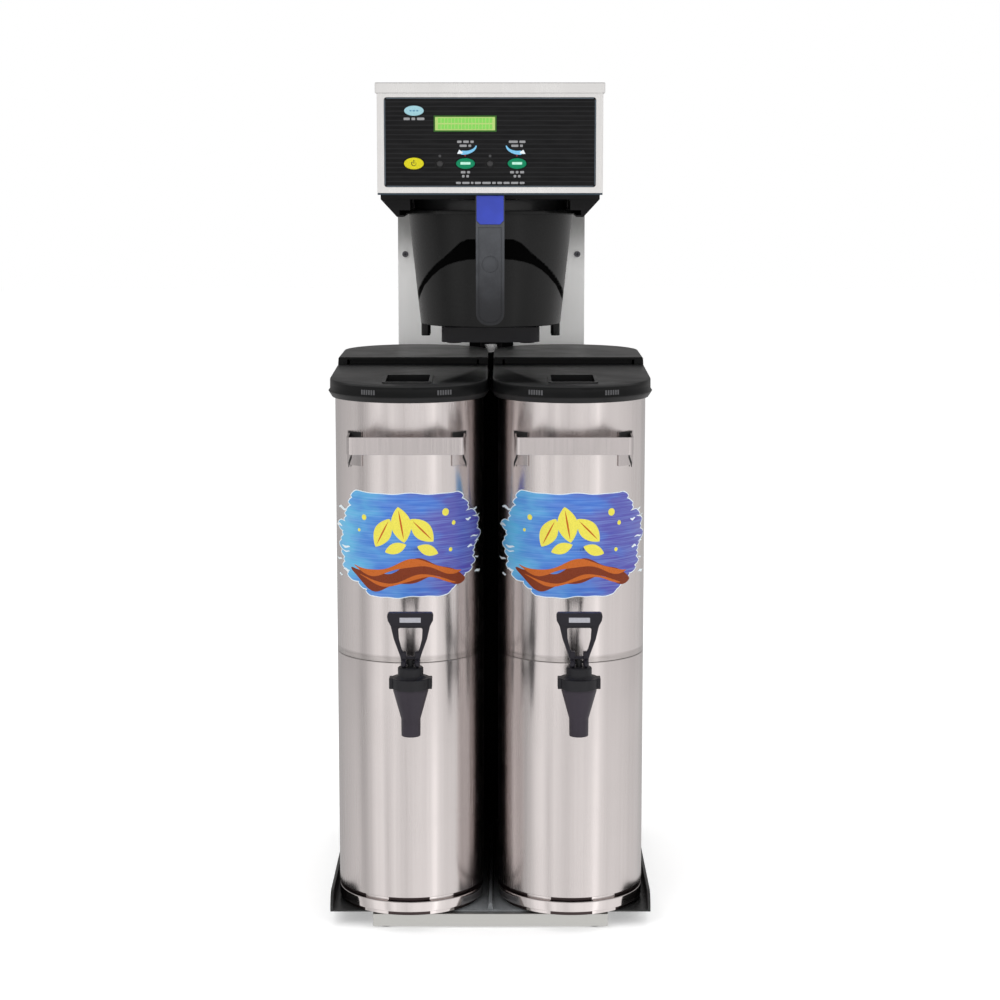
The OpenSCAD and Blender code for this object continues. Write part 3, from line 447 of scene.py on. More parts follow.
def inlay(first, second, front, depth):
    # a thin slab between two lines of (x, z) points, its face at front and its back depth behind it
    lines = ((first, front), (second, front), (second, front + depth), (first, front + depth))
    return capped(np.stack([joined(line[:, 0], y, line[:, 1]) for line, y in lines], 1))


def boxMm(node):
    low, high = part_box(node)
    return np.array(low) / mm, np.array(high) / mm


# Sheet metal and plain mouldings: the frame's own shapes with their edges rounded

sheetPieces = {"base_pan": 0.8, "trunk_shell": 0.6, "trunk_back_cover": 0.5, "hood_shell": 0.6, "hood_top_cover": 1.5,
               "stop_plate": 0.3, "power_gland": 0.4, "inlet_fitting": 0.4}
mouldedPieces = {"dispenser_tray": 0.8, "dispenser_stop": 1.2, "rail_plate": 0.7, "cone_rail_left": 0.7,
                 "cone_rail_right": 0.7, "cone_outlet": 0.8, "base_feet": 0.4, "cone_handle": 0.6, "handle_insert": 0.4,
                 "sprayhead": 0.4}
for node, edge in {**sheetPieces, **mouldedPieces}.items():
    softened(node, edge)


def paintTraySheen(place, axes, ground):
    # painted sheen: the lane between the two dispensers is painted paler, as the grazing reflection on the black floor
    across = between(maths(axes["X"], "ABSOLUTE", 0.0), 0.03, 0.042, 1.0, 0.0)
    lane = times(across, between(axes["Y"], -0.245, -0.1, 1.0, 0.0))
    paintedSheen = times(lane, swing(stretchedNoise(place, (400, 30, 400)), 0.85, 1.0))
    return mixColours(paintedSheen, ground, (0.2, 0.21, 0.22))


def gradeGrip(place, axes, ground):
    # darker at the foot and paler towards the upper end
    drift = swing(stretchedNoise(place, (60, 60, 60)), -0.012, 0.012)
    low = mixColours(between(axes["Z"], 0.645, 0.7), (0.017, 0.0175, 0.02), ground)
    return mixColours(between(plus(axes["Z"], drift), 0.66, 0.76), low, (0.075, 0.079, 0.088))


def shadeColumn(place, axes, ground):
    # painted shade: brightest at the front, with a painted shadow of the hood that deepens up towards it
    front = boxMm("trunk_shell")[0][1] * mm
    drift = swing(stretchedNoise(place, (60, 60, 30)), -0.004, 0.004)
    rise = between(plus(axes["Z"], drift), 0.676, 0.746)
    shade = times(rise, between(axes["Y"], front + 0.001, front + 0.03, 1.0, 0.0))
    # painted shade: the flanks are painted darker than the front
    flank = mixColours(between(axes["Y"], front + 0.001, front + 0.012), ground, (0.66, 0.66, 0.65))
    return mixColours(shade, flank, (0.27, 0.27, 0.265))


# the cover's turned-down edge ends a little higher than the frame's
coverEdge = {"below": 0.008, "lift": 0.0022}
cover = bpy.data.objects["hood_top_cover_dressed"].data.vertices
spots = readAll(cover, "co", 3)
spots[spots[:, 2] < cadBounds[1][2] - coverEdge["below"], 2] += coverEdge["lift"]
cover.foreach_set("co", spots.ravel())

for name, recolour in (("trayBlack", paintTraySheen), ("gripGrey", gradeGrip), ("columnSteel", shadeColumn)):
    reworked(name, recolour)
# the dispenser stop's near-black finish is painted shade, for the shade in the deep gap between the two dispensers
ownFinishes = {"dispenser_tray": "trayBlack", "stop_plate": "platePolish", "trunk_shell": "columnSteel",
               "base_pan": "panSteel", "dispenser_stop": "bufferBlack", "rail_plate": "carrierBlack",
               "cone_rail_left": "railBlack", "cone_rail_right": "railBlack", "cone_handle": "gripGrey"}
for node, finish in ownFinishes.items():
    bpy.data.objects[node + "_dressed"].data.materials[0] = finishes[finish]
print("sheet and mouldings ready")


# The two dispensers

vessel = {"arcSteps": 72, "sideSteps": 10, "wall": 1.2, "nest": 1.4, "bead": 1.8, "sole": 4.0, "waist": 5.5,
    "inset": 9, "band": (4.4, 15.6), "darkTurns": (18.5, 40)}


def dullSeam(place, axes, ground):
    # a faint dull band where the upper shell laps the lower one
    seam = boxMm("skirt_left")[1][2] * mm
    above = between(axes["Z"], seam - 0.0015, seam)
    band = times(above, between(axes["Z"], seam + 0.005, seam + 0.0085, 1, 0))
    dull = times(band, swing(stretchedNoise(place, (60, 60, 400)), 0.7, 1.0))
    return mixColours(dull, ground, (0.43, 0.4, 0.39))


reworked("girthSteel", dullSeam)


def roundFront(side):
    # a dispenser's round front: its upright axis and its radius
    low, high = boxMm("skirt_" + side)
    radius = (high[0] - low[0]) / 2
    return ((low[0] + high[0]) / 2, low[1] + radius), radius


def stadium(side):
    # plan of a dispenser: two half circles joined by straight sides, as centres and outward directions
    low, high = boxMm("skirt_" + side)
    radius = (high[0] - low[0]) / 2
    half = (high[1] - low[1]) / 2 - radius
    middle = (low + high) / 2
    arc = np.radians(np.linspace(0, 180, vessel["arcSteps"] + 1))
    run = np.linspace(1, -1, vessel["sideSteps"] + 2)[1:-1]
    turn = np.concatenate([arc, np.full(len(run), math.pi), arc + math.pi, np.zeros(len(run))])
    shift = np.concatenate([np.ones(len(arc)), run, -np.ones(len(arc)), -run]) * half
    return joined(middle[0], middle[1] + shift), joined(np.cos(turn), np.sin(turn)), radius


def shadeWaist(mesh, centres, radius):
    # painted shade and reflection: the ring's drawn-in faces are painted dark at the middle of the front and round the
    # flanks
    middle = readAll(mesh.polygons, "center", 3) / mm
    along = np.clip(middle[:, 1], centres[:, 1].min(), centres[:, 1].max())
    across, away = middle[:, 0] - centres[0, 0], along - middle[:, 1]
    turn = np.degrees(np.abs(np.arctan2(across, np.where(away > 0, away, 0.001))))
    front, flank = vessel["darkTurns"]
    darkened(mesh, "pressedDark", (np.hypot(across, away) < radius - 0.8) & ((turn < front) | (turn > flank)))


def makeVessel(side):
    centres, directions, radius = stadium(side)
    nest, wall = radius - vessel["nest"], vessel["wall"]
    bead, inset, sole, waist = radius + vessel["bead"], *(radius - vessel[k] for k in ("inset", "sole", "waist"))
    (_, _, floor), (_, _, rim) = boxMm("reservoir_" + side)
    (_, _, low), (_, _, seam) = boxMm("skirt_" + side)
    foot = boxMm("foot_ring_" + side)[0][2]
    bandLow, bandTop = (foot + height for height in vessel["band"])
    outlines = {
        "reservoir": [(0, floor), (nest, floor, 11), (nest, seam + 0.1, 0.1), (radius, seam + 0.45, 0.3),
            (radius, rim - 3, 0.5), (bead, rim - 2.6, 0.6), (bead, rim, 0.8), (radius - wall, rim, 0.4),
            (radius - wall, seam + 1.5, 0.4), (nest - wall, seam - 0.3, 0.4), (nest - wall, floor + wall, 10),
            (0, floor + wall)],
        "skirt": [(radius, seam, 0.5), (radius, low, 1.0), (inset, low, 0.3), (inset, low + wall),
            (radius - wall, low + wall, 0.4), (radius - wall, seam)],
        "foot_ring": [(inset, foot), (sole, foot, 0.4), (sole, bandLow, 0.3), (radius, bandLow, 1.0),
            (radius, bandTop, 1.2), (waist, bandTop, 0.4), (waist, low), (inset, low)],
    }
    for part, outline in outlines.items():
        grid = carried(roundCorners(outline), centres, directions)
        steel = "footSteel" if part == "foot_ring" else "girthSteel"
        shell = makePiece(f"{part}_shell_{side}", [(grid, True, True)], steel, "dispenser_" + side,
                          [f"{part}_{side}"], 50)
        if part == "foot_ring":
            shadeWaist(shell.data, centres, radius)


# the dark pads at the handle's tabs are painted shade
handle = {"shadePadLift": 0.16, "cap": ((36.5, 529.0), (50.5, 535.2)), "tail": ((46.6, 509.8), (50.6, 499.6), 2.6)}


def makeHandle(side):
    # the frame's strip, with dark pads at its tabs' tops and along their tails: painted shade, for the shadow between
    # the tabs and the body
    softened("carry_handle_" + side, 0.5, 3)
    axis, radius = roundFront(side)
    (fromTurn, fromZ), (toTurn, toZ) = handle["cap"]
    (headTurn, headZ), (tailTurn, tailZ), wide = handle["tail"]
    turns, run = np.linspace(fromTurn, toTurn, 9), np.linspace(0, 1, 7)
    tail, fall = headTurn + (tailTurn - headTurn) * run, headZ + (tailZ - headZ) * run
    reach = radius + 1.6 + handle["shadePadLift"]
    pads = [curvedPad(axis, angles * mirror, low, high, radius + 1, reach) for mirror in (-1, 1)
            for angles, low, high in ((turns, fromZ, toZ), (tail, fall - wide, fall + wide))]
    makePiece("handle_shade_pad_" + side, pads, "foot_rubber", "dispenser_" + side)


lid = {"faceRadius": 83.95, "ribs": 6, "ribTurn": (22.6, 34.4), "ribHeight": (575.2, 580.2), "proud": 0.3,
       "ribShare": 0.62, "frontEdge": (-0.228, -0.25), "lip": (0.5735, 0.5715)}


def paintFlapHighlight(place, axes, ground):
    # painted highlight: a little paler along the plate's front edge and on the lip below
    plate = times(between(axes["Y"], *lid["frontEdge"]), between(axes["Z"], 0.583, 0.584))
    paintedSheen = maths(plate, "MAXIMUM", between(axes["Z"], *lid["lip"]))
    return mixColours(paintedSheen, ground, (0.026, 0.026, 0.0265))


def makeLid(side):
    # both halves of the lid, with two patches of upright ribs on the flap's front for the fingertips; the ribs' paler
    # grey is painted highlight
    softened("lid_rear_" + side, 0.4, angle=40)
    softened("lid_flap_" + side, 0.8, angle=40).data.materials[0] = finishes["flapBlack"]
    axis, _ = roundFront(side)
    starts = np.linspace(*lid["ribTurn"], lid["ribs"] + 1)
    width = (starts[1] - starts[0]) * lid["ribShare"]
    ribs = [curvedPad(axis, mirror * np.linspace(turn, turn + width, 3), *lid["ribHeight"], lid["faceRadius"] - 1,
                      lid["faceRadius"] + lid["proud"]) for turn in starts[:-1] for mirror in (-1, 1)]
    makePiece("lid_ribs_" + side, ribs, "ribGrey", "flap_" + side)


reworked("flapBlack", paintFlapHighlight)
for side in sides:
    makeVessel(side)
    makeHandle(side)
    makeLid(side)
print("vessels and lids ready")


# Faucets

faucet = {"loopSteps": 144, "loopDepth": 3.2, "barDepth": (-5.4, 3.2), "barHalf": 23.5,
          "barTop": ([0, 21.5, 22.6, 23.5], [-0.1, -0.1, -0.8, -3]),
          "barUnder": ([0, 17.4, 20.2, 22.4, 23.5], [-13.4, -13.4, -11, -8.4, -5]),
          "shankRise": 40.2, "pinDrop": 2.4, "legOff": 7, "legHalf": 2.8, "plate": (10.8, 10.1, 4.9)}


def polar(outline, centre, angles):
    # distance from a centre to an outline, looking out at each angle
    dense = np.concatenate([outline, outline[:1]])
    steps = np.linspace(0, len(outline), 40 * len(outline), endpoint=False)
    track = np.stack([np.interp(steps, np.arange(len(dense)), dense[:, k]) for k in (0, 1)], -1) - centre
    facing = np.arctan2(track[:, 1], track[:, 0]) % (2 * math.pi)
    order = np.argsort(facing)
    return np.interp(angles, facing[order], np.linalg.norm(track, axis=1)[order], period=2 * math.pi)


def mirrored(half):
    # a closed outline from its right half, listed from the top down
    return [*half, *[(-c[0], *c[1:]) for c in reversed(half)]]


def roundedBlock(low, high, edge, steps=4):
    # a block drawn as rings along Y; the rings shrink by a quarter circle at both ends
    turn = np.linspace(0, math.pi / 2, steps + 1)
    inset, along = edge * (1 - np.sin(turn)), edge * (1 - np.cos(turn))
    inset, along = np.concatenate([inset, inset[::-1]]), np.concatenate([low[1] + along, high[1] - along[::-1]])
    corner = np.concatenate([turn + k * math.pi / 2 for k in range(4)])
    sx, sz = np.repeat([1, -1, -1, 1], steps + 1), np.repeat([1, 1, -1, -1], steps + 1)
    middle, half = (np.array(low) + np.array(high)) / 2, (np.array(high) - np.array(low)) / 2
    x = middle[0] + sx * (half[0] - edge) + np.cos(corner)[None, :] * (edge - inset[:, None])
    z = middle[2] + sz * (half[2] - edge) + np.sin(corner)[None, :] * (edge - inset[:, None])
    return capped(joined(x, along[:, None], z))


def makeFaucet(side):
    seatLow, seatHigh = boxMm("faucet_seat_" + side)
    x, y = ((seatLow + seatHigh) / 2)[:2]
    pinZ = seatHigh[2] - faucet["pinDrop"]
    low, top = boxMm("faucet_body_" + side)[0][2], boxMm("faucet_lever_" + side)[1][2]
    # barrel: a revolved cone on a straight spout, with its bore
    outline = roundCorners([(7, low, 0.3), (9.8, low, 0.8), (10, low + 18.2, 4), (18.1, low + 47.7, 3),
        (18.1, low + 61.2, 0.6), (13, low + 61.2, 0.4), (13, low + 52.2, 1), (10.5, low + 33.2, 2),
        (7, low + 27.2, 2)], 6)
    makePiece("faucet_barrel_" + side, [(turned(outline, (x, y), 72), True, True)], "faucetBlack",
              "dispenser_" + side, ["faucet_body_" + side])
    # shank with its flange against the vessel's front
    wall = boxMm("skirt_" + side)[0][1] - y
    shank = roundCorners([(10, 8), (10, wall - 2.6, 0.6), (15, wall - 2.6, 0.8), (15, wall - 0.1, 0.3),
        (10, wall - 0.1), (10, wall + 22, 0.8), (5.5, wall + 22), (5.5, 8)], 3)
    around = np.radians(np.arange(0, 360, 7.5))[:, None]
    tube = joined(x + np.cos(around) * shank[:, 0], y + shank[:, 1],
                  low + faucet["shankRise"] + np.sin(around) * shank[:, 0])
    makePiece("faucet_shank_" + side, [(tube, True, True)], "black_plastic", "dispenser_" + side)
    softened("faucet_bonnet_" + side, 0.7, 3)
    softened("faucet_nut_" + side, 0.5)
    softened("faucet_seat_" + side, 0.3)
    # lever: a loop between an outer and an inner outline, with a squared-up round section
    outer = roundCorners(mirrored([(22.6, 0, 1.5), (23.5, -2, 1), (23.3, -9, 3), (20.4, -13.6, 4), (17.1, -28, 12),
        (11.3, -44, 10), (9.8, -49, 1.5)]), 5)
    inner = roundCorners(mirrored([(12.4, -16.5, 2), (11.8, -28, 10), (9.2, -38, 8), (5, -46, 2)]), 5)
    heart = np.array([0, -30])
    angles = np.linspace(0, 2 * math.pi, faucet["loopSteps"], endpoint=False)
    far, near = polar(outer, heart, angles), polar(inner, heart, angles)
    across, deep = superCircle(np.linspace(0, 2 * math.pi, 28, endpoint=False), 0.55)
    reach = (far + near)[:, None] / 2 + (far - near)[:, None] / 2 * across
    loop = joined(x + np.cos(angles)[:, None] * reach, y + faucet["loopDepth"] * deep,
                  top + heart[1] + np.sin(angles)[:, None] * reach)
    run = np.linspace(-faucet["barHalf"], faucet["barHalf"], 61)
    upper, under = (joined(x + run, top + np.interp(np.abs(run), *faucet[k])) for k in ("barTop", "barUnder"))
    bar = inlay(upper, under, y + faucet["barDepth"][0], faucet["barDepth"][1] - faucet["barDepth"][0])
    legs, heels = [], []
    for leg in (x - faucet["legOff"], x + faucet["legOff"]):
        left, right = leg - faucet["legHalf"], leg + faucet["legHalf"]
        legs.append(roundedBlock((left, y - 3.9, pinZ - 3.6), (right, y + 3.9, top - 41), 1.0))
        heels.append(roundedBlock((left, y - 10.9, pinZ - 3.8), (right, y + 3.6, pinZ + 3.8), 3.0, 6))
    makePiece("lever_loop_" + side, [(loop, True, True), bar, *legs, *heels], "leverBlack", "lever_" + side,
              ["faucet_lever_" + side])
    half, under, upper = faucet["plate"]
    label = roundedBlock((x - half, y - 5.7, top - under), (x + half, y - 5, top - upper), 0.3)
    makePiece("lever_plate_" + side, [label], "plateGrey", "lever_" + side)


for side in sides:
    makeFaucet(side)
print("faucets ready")


# Brew cone

cone = {"around": 480, "wallRows": 130, "sunk": 1.5, "edge": 0.6, "collar": 11.5, "collarFrom": 36, "grip": 5.7,
        "top": 89.5, "low": 76.6, "rimDepth": 4, "rimRound": 108, "rimHalf": (95, 92), "footAt": (71, 12),
        "archTop": ([0, 24, 32.4, 40.8, 49.4, 58.1, 66.9, 71.8, 77.9, 82],
                    [94.2, 93.9, 90, 82.1, 74, 66.8, 57.2, 50.2, 39.2, 28]),
        "archLow": ([0, 24, 36.6, 45.1, 53.7, 62.5, 71.4, 75.5, 78.9, 82],
                    [74, 73, 70.3, 67.2, 62.2, 54.3, 43.4, 34.2, 25, 25])}


def makeCone():
    # revolved wall; where the arch lies, between two lines over the distance from the handle, the wall steps in
    low, high = boxMm("brew_cone")
    y = (low[1] + high[1]) / 2
    top = high[2] - cone["collar"]
    foot = boxMm("cone_handle")[0][2] - cone["grip"]
    topR, footR, under = cone["top"], cone["low"], top - cone["rimDepth"]
    wall = np.linspace(foot + 1.6, under - 0.4, cone["wallRows"])
    outside = joined(footR + (topR - footR) * (wall - foot - 1) / (under - foot - 1), wall)
    bottom = roundCorners([(11, foot - 8), (14, foot - 8, 0.5), (14, foot, 1), (footR - 0.1, foot, 0.9),
        tuple(outside[0])], closed=False)
    mouth = roundCorners([tuple(outside[-1]), (topR, top, 0.8), (topR - 3, top, 0.8), (footR - 3, foot + 12, 8),
        (footR - 14, foot + 5, 4), (11, foot + 3.5)], closed=False)
    grid = turned(np.concatenate([bottom[:-1], outside, mouth[1:]]), (0, y), cone["around"])
    across, height = np.abs(grid[..., 0]), grid[..., 2] - foot
    below, above = np.interp(across, *cone["archTop"]) - height, height - np.interp(across, *cone["archLow"])
    inside = np.prod([np.clip(d / cone["edge"] + 0.5, 0, 1) for d in (below, above)], axis=0)
    radius = np.hypot(grid[..., 0], grid[..., 1] - y)
    onWall = radius > topR - (topR - footR) * (under - grid[..., 2]) / (under - foot - 1) - 0.5
    inside = inside * onWall * (grid[..., 1] < y - 4)
    grid[..., 0] *= 1 - inside * cone["sunk"] / radius
    grid[..., 1] = y + (grid[..., 1] - y) * (1 - inside * cone["sunk"] / radius)
    # flat rim: a ring whose outer edge is a circle cut straight on four sides
    angle = np.linspace(0, 2 * math.pi, cone["around"], endpoint=False)
    cuts = [half / np.maximum(np.abs(f(angle)), 1e-6) for half, f in zip(cone["rimHalf"], (np.cos, np.sin))]
    edge = np.minimum(cone["rimRound"], np.minimum(*cuts))
    inset = np.array([0.6, 0.15, 0, 0, 0.15, 0.6])
    heights = np.array([under, under + 0.15, under + 0.6, top - 0.6, top - 0.15, top, top, under])
    reach = np.concatenate([edge[:, None] - inset, np.full((len(edge), 2), topR - 1)], 1)
    rim = joined(np.cos(angle)[:, None] * reach, y + np.sin(angle)[:, None] * reach, heights)
    # the wall's collar above the rim, in front only
    opening = math.degrees(math.asin(cone["collarFrom"] / topR))
    band = roundCorners([(topR - 3, top - 1), (topR, top - 1), (topR, high[2], 0.8), (topR - 3, high[2], 0.8)], 3)
    band = turned(band, (0, y), 120, 180 + opening, 360 - opening)
    peg = roundCorners([(0, foot - 13), (4.8, foot - 13, 0.6), (4.8, foot + 4), (0, foot + 4)], 3)
    offX, offY = cone["footAt"]
    others = [(rim, True, True), capped(band)]
    others += [(turned(peg, (fx, y + fy), 24), True, True) for fx in (-offX, offX) for fy in (-offY, offY)]
    values = np.concatenate([inside.ravel(), np.zeros(sum(g[0][..., 0].size for g in others))])
    mesh = makePiece("cone_wall", [(grid, True, True), *others], "coneBlack", "brew_cone_unit", ["brew_cone"],
                     40, values).data
    # faces inside the arch are matt and darker
    depth = readAll(mesh.attributes["depth"].data, "value")
    corner = readAll(mesh.loops, "vertex_index", 1, int)
    first, total = (readAll(mesh.polygons, field, 1, int) for field in ("loop_start", "loop_total"))
    darkened(mesh, "archBlack", np.add.reduceat(depth[corner], first) / total > 0.5)


def paintCollarLight(place, axes, ground):
    # painted light: the collar above the rim is painted a little paler
    return mixColours(between(axes["Z"], 0.7615, 0.7625), ground, (0.035, 0.035, 0.036))


reworked("coneBlack", paintCollarLight)
makeCone()
print("brew cone ready")


# Control panel and its print

panel = {"front": boxMm("control_panel")[0][1], "ink": 0.07, "lift": 0.05, "sensorsX": (-52, 0), "sensorsZ": 811.3}


def plateLines(centre, half, corner, steps=6):
    # upper and lower line of a rectangle with round corners, both from left to right
    turn = np.linspace(0, math.pi / 2, steps + 1)
    left = centre[0] - half[0] + corner * (1 - np.cos(turn))
    rise = half[1] - corner * (1 - np.sin(turn))
    x = np.concatenate([left, 2 * centre[0] - left[::-1]])
    rise = np.concatenate([rise, rise[::-1]])
    return joined(x, centre[1] + rise), joined(x, centre[1] - rise)


def arcLines(centre, half, start, end, thick, steps=24):
    # a tapered stroke along part of an ellipse, from angle start to angle end in degrees
    turn = np.radians(np.linspace(start, end, steps))
    width = thick * (0.25 + 0.75 * np.linspace(1, 0, steps) ** 0.8)
    return [joined(centre[0] + (half[0] + k * width) * np.cos(turn), centre[1] + (half[1] + k * width) * np.sin(turn))
            for k in (0.5, -0.5)]


def printOn(name, ink, shapes, body="chassis", front=None, depth=None):
    front = panel["front"] - panel["lift"] if front is None else front
    slabs = [inlay(a, b, front, depth or panel["ink"]) for a, b in shapes]
    return makePiece(name, slabs, ink, body)


def dashes(centre, width, height, words):
    # a caption as plain dashes, one for each word length
    gap = height * 0.7
    unit = (width - gap * (len(words) - 1)) / sum(words)
    shapes, x = [], centre[0] - width / 2
    for word in words:
        shapes.append(plateLines((x + unit * word / 2, centre[1]), (unit * word / 2, height / 2), height * 0.3, 3))
        x += unit * word + gap
    return shapes


def domed(name, centre, half, front, crown, back, slot, body, node):
    # an oval cap: its face rises to the crown as one minus the fourth power of the distance from its middle
    reach = np.concatenate([np.linspace(0, 0.8, 9), [0.87, 0.93, 0.97, 0.99, 1.0, 1.0, 0.0]])
    depth = front + crown * np.minimum(reach, 1) ** 4
    depth[-3:] = [front + crown + 0.2, back, back]
    turn = np.radians(np.arange(0, 360, 5))[:, None]
    grid = joined(centre[0] + half[0] * np.cos(turn) * reach, depth, centre[1] + half[1] * np.sin(turn) * reach)
    return makePiece(name, [(grid, True, False)], slot, body, [node])


def middleOf(node):
    low, high = boxMm(node)
    return (low + high)[[0, 2]] / 2, (high - low)[[0, 2]] / 2, low[1], high[1]


keyPrint = {  # rows of dashes (rise over the key's middle, width, height, word lengths), angles of the sweep and glint
    1: ([(22.3, 17.2, 2.4, (4, 5, 3)), (18.2, 12, 2.4, (5, 2)), (-8.9, 9.6, 2.4, (3, 2)), (-13, 7.2, 2.6, (2, 2))],
        (258, 352), (242, 264)),
    -1: ([(22.3, 17.2, 2.4, (6, 4)), (18.2, 12, 2.4, (5, 2)), (-8.9, 14.6, 2.4, (3, 2, 3)), (-13, 7.2, 2.6, (2, 2))],
         (282, 188), (298, 276)),
}


def printKey(node, kx, kz, face, sign):
    # what is printed round a brew key; sign is 1 for the left key and -1 for the right one
    rows, turn, start = keyPrint[sign]
    printOn(node + "_caption", "printGrey", [line for rise, *row in rows for line in dashes((kx, kz + rise), *row)])
    around = (kx - sign * 1.5, kz + 19.5), (12.8, 8.4)
    printOn(node + "_sweep", "printSky", [arcLines(*around, *turn, 4.4)])
    printOn(node + "_glint", "printWhite", [arcLines(*around, *start, 4.8, 6)], front=face - 0.08)
    printOn(node + "_dot", "printRed", [plateLines((kx - 0.3, kz + 8.2), (0.7, 0.8), 0.3)])


def makePanel():
    softened("control_panel", 0.25)
    face = panel["front"]
    (px, pz), (halfX, halfZ), _, _ = middleOf("control_panel")
    # painted highlight: a thin pale line along each edge of the film, as four strips
    rim = [plateLines((px, pz + s * (halfZ - 0.9)), (halfX - 2.5, 0.45), 0.2, 2) for s in (-1, 1)]
    rim += [plateLines((px + s * (halfX - 0.9), pz), (0.45, halfZ - 2.5), 0.2, 2) for s in (-1, 1)]
    printOn("panel_edge_highlight", "printEdge", rim)
    # lamp, keys and sensors: oval caps
    (lx, lz), half, front, back = middleOf("status_lamp")
    domed("status_lamp_lens", (lx, lz), half - 2, front, 0.25, back, "lamp_blue", "chassis", "status_lamp")
    printOn("status_lamp_mark", "lampShade", dashes((lx, lz), 9, 1.6, (3, 4, 3)), front=front - 0.02)
    printOn("status_caption", "printGrey", dashes((lx, 857), 21.5, 2.6, (5, 3, 6)))
    for node, body, sign in (("power_button", "power_key", 0), ("brew_button_left", "left_brew_key", 1),
                             ("brew_button_right", "right_brew_key", -1)):
        (kx, kz), half, front, back = middleOf(node)
        domed(node + "_cap", (kx, kz), half - 2, front, 0.4, back, "key_green" if sign else "key_yellow", body, node)
        if sign:
            printOn(node + "_mark", "printMint", [plateLines((kx, kz + 0.2), (5.2, 1.3), 0.5)], body, front - 0.03)
            printKey(node, kx, kz, face, sign)
        else:
            ring = [arcLines((kx, kz), (2.3, 2.3), 130, 410, 0.9, 32), plateLines((kx, kz + 1.9), (0.4, 1.9), 0.2)]
            printOn(node + "_mark", "printDark", ring, body, front - 0.03)
    for i, sx in enumerate(panel["sensorsX"], 1):
        spot = (sx, panel["sensorsZ"])
        domed(f"sensor_lens_{i}", spot, (3.1, 3.1), face + 0.05, 0.15, face + 8, "smoked_lens", "chassis",
              "key_sensors")
        printOn(f"sensor_ring_{i}", "ringBlack", [arcLines(spot, (4.9, 4.9), 90, 449.9, 1.8, 48)])
        printOn(f"sensor_mark_{i}", "printFaint", [plateLines((sx, 819), (1.3, 1.3), 0.6)])
    # painted shade: a dark strip along the hood's lower edge, for the shade in its rolled hem
    low, high = boxMm("hood_shell")
    hem = plateLines((0, low[2] + 1), (high[0] - 0.4, 1), 0.3)
    printOn("hood_hem_shade", "hemShade", [hem], front=low[1] - 0.12, depth=0.3)
    printOn("lower_caption", "printGrey", dashes((0.2, 791.4), 71, 2.2, (4, 6, 2, 5, 7, 3, 4, 5, 6, 4)))


def makeDisplay():
    # a green frame, the lit face in it, and two rows of blank cells
    (dx, dz), half, front, back = middleOf("display_window")
    half = half - 2
    makePiece("display_frame", [inlay(*plateLines((dx, dz), half, 0.6, 3), front, back - front)], "displayFrame",
              "chassis", ["display_window"])
    makePiece("display_face", [inlay(*plateLines((dx, dz), half - 1.5, 0.4, 3), front - 0.08, 0.3)], "display_green",
              "chassis")
    cells = [plateLines((dx + 3.55 * (i - 7.5), dz + 3.2 * s), (1.45, 2.5), 0.2, 2) for i in range(16) for s in (-1, 1)]
    printOn("display_cells", "displayCell", cells, front=front - 0.12)


makePanel()
makeDisplay()
print("panel ready")


# Screws at the front of the column: the frame's heads, each with a dark cross printed on it as painted shade for its
# cross recess

softened("trunk_screws", 0.25)
screw = {"x": 102, "z": 703.7, "front": boxMm("trunk_screws")[0][1]}
crosses = [plateLines((s * screw["x"], screw["z"]), half, 0.15, 2) for s in (-1, 1)
           for half in ((1.7, 0.35), (0.35, 1.7))]
printOn("screw_crosses", "recessBlack", crosses, front=screw["front"] - 0.05)


# Decal on each dispenser: brushed ground, amber waves, leaves and dots

decal = {"low": 366, "high": 470, "halfTurn": 76, "strokes": 15, "dry": 16, "seed": 11, "reach": 78.25,
         "leaves": [(-26, 431, 34, 62), (-6, 440, 38, 100), (16, 434, 34, 135), (-12, 415, 24, 20, 0.24),
                    (22, 413, 24, 160, 0.24)],
         "veins": [(-26, 431, 28, 62, 0.03), (-6, 440, 31, 100, 0.03), (16, 434, 28, 135, 0.03)],
         "dots": [(42, 452, 4), (52, 440, 2.4), (-48, 446, 3), (-55, 432, 1.8), (48, 412, 2.2)],
         "lowWave": (386, 7, 13, 0.4, 50), "highWaves": [(394, 6, 4.5, 1.0, 46), (381, 5, 2.4, 0.1, 40)]}


def groundInk():
    # sky blue on the left to violet on the right, with streaks along the strokes
    material, shader, _ = freshMaterial("decalGround")
    place = addNode(shader.id_data, "ShaderNodeUVMap", uv_map="decalPlace").outputs[0]
    streaks = stretchedNoise(place, (4, 60, 1))
    cloud = stretchedNoise(place, (5, 6, 1), 2.0)
    shifted = plus(axesOf(place)["X"], swing(cloud, -0.12, 0.12))
    sky = mixColours(between(shifted, 0.05, 0.5), (0.1, 0.45, 0.72), (0.035, 0.16, 0.6))
    full = mixColours(between(shifted, 0.45, 0.8), sky, (0.07, 0.055, 0.38))
    feed(shader, "Base Color", mixColours(between(streaks, 0.35, 0.75, 0.0, 0.35), full, (0.3, 0.5, 0.85)))
    feed(shader, "Roughness", swing(streaks, 0.28, 0.36))
    return material


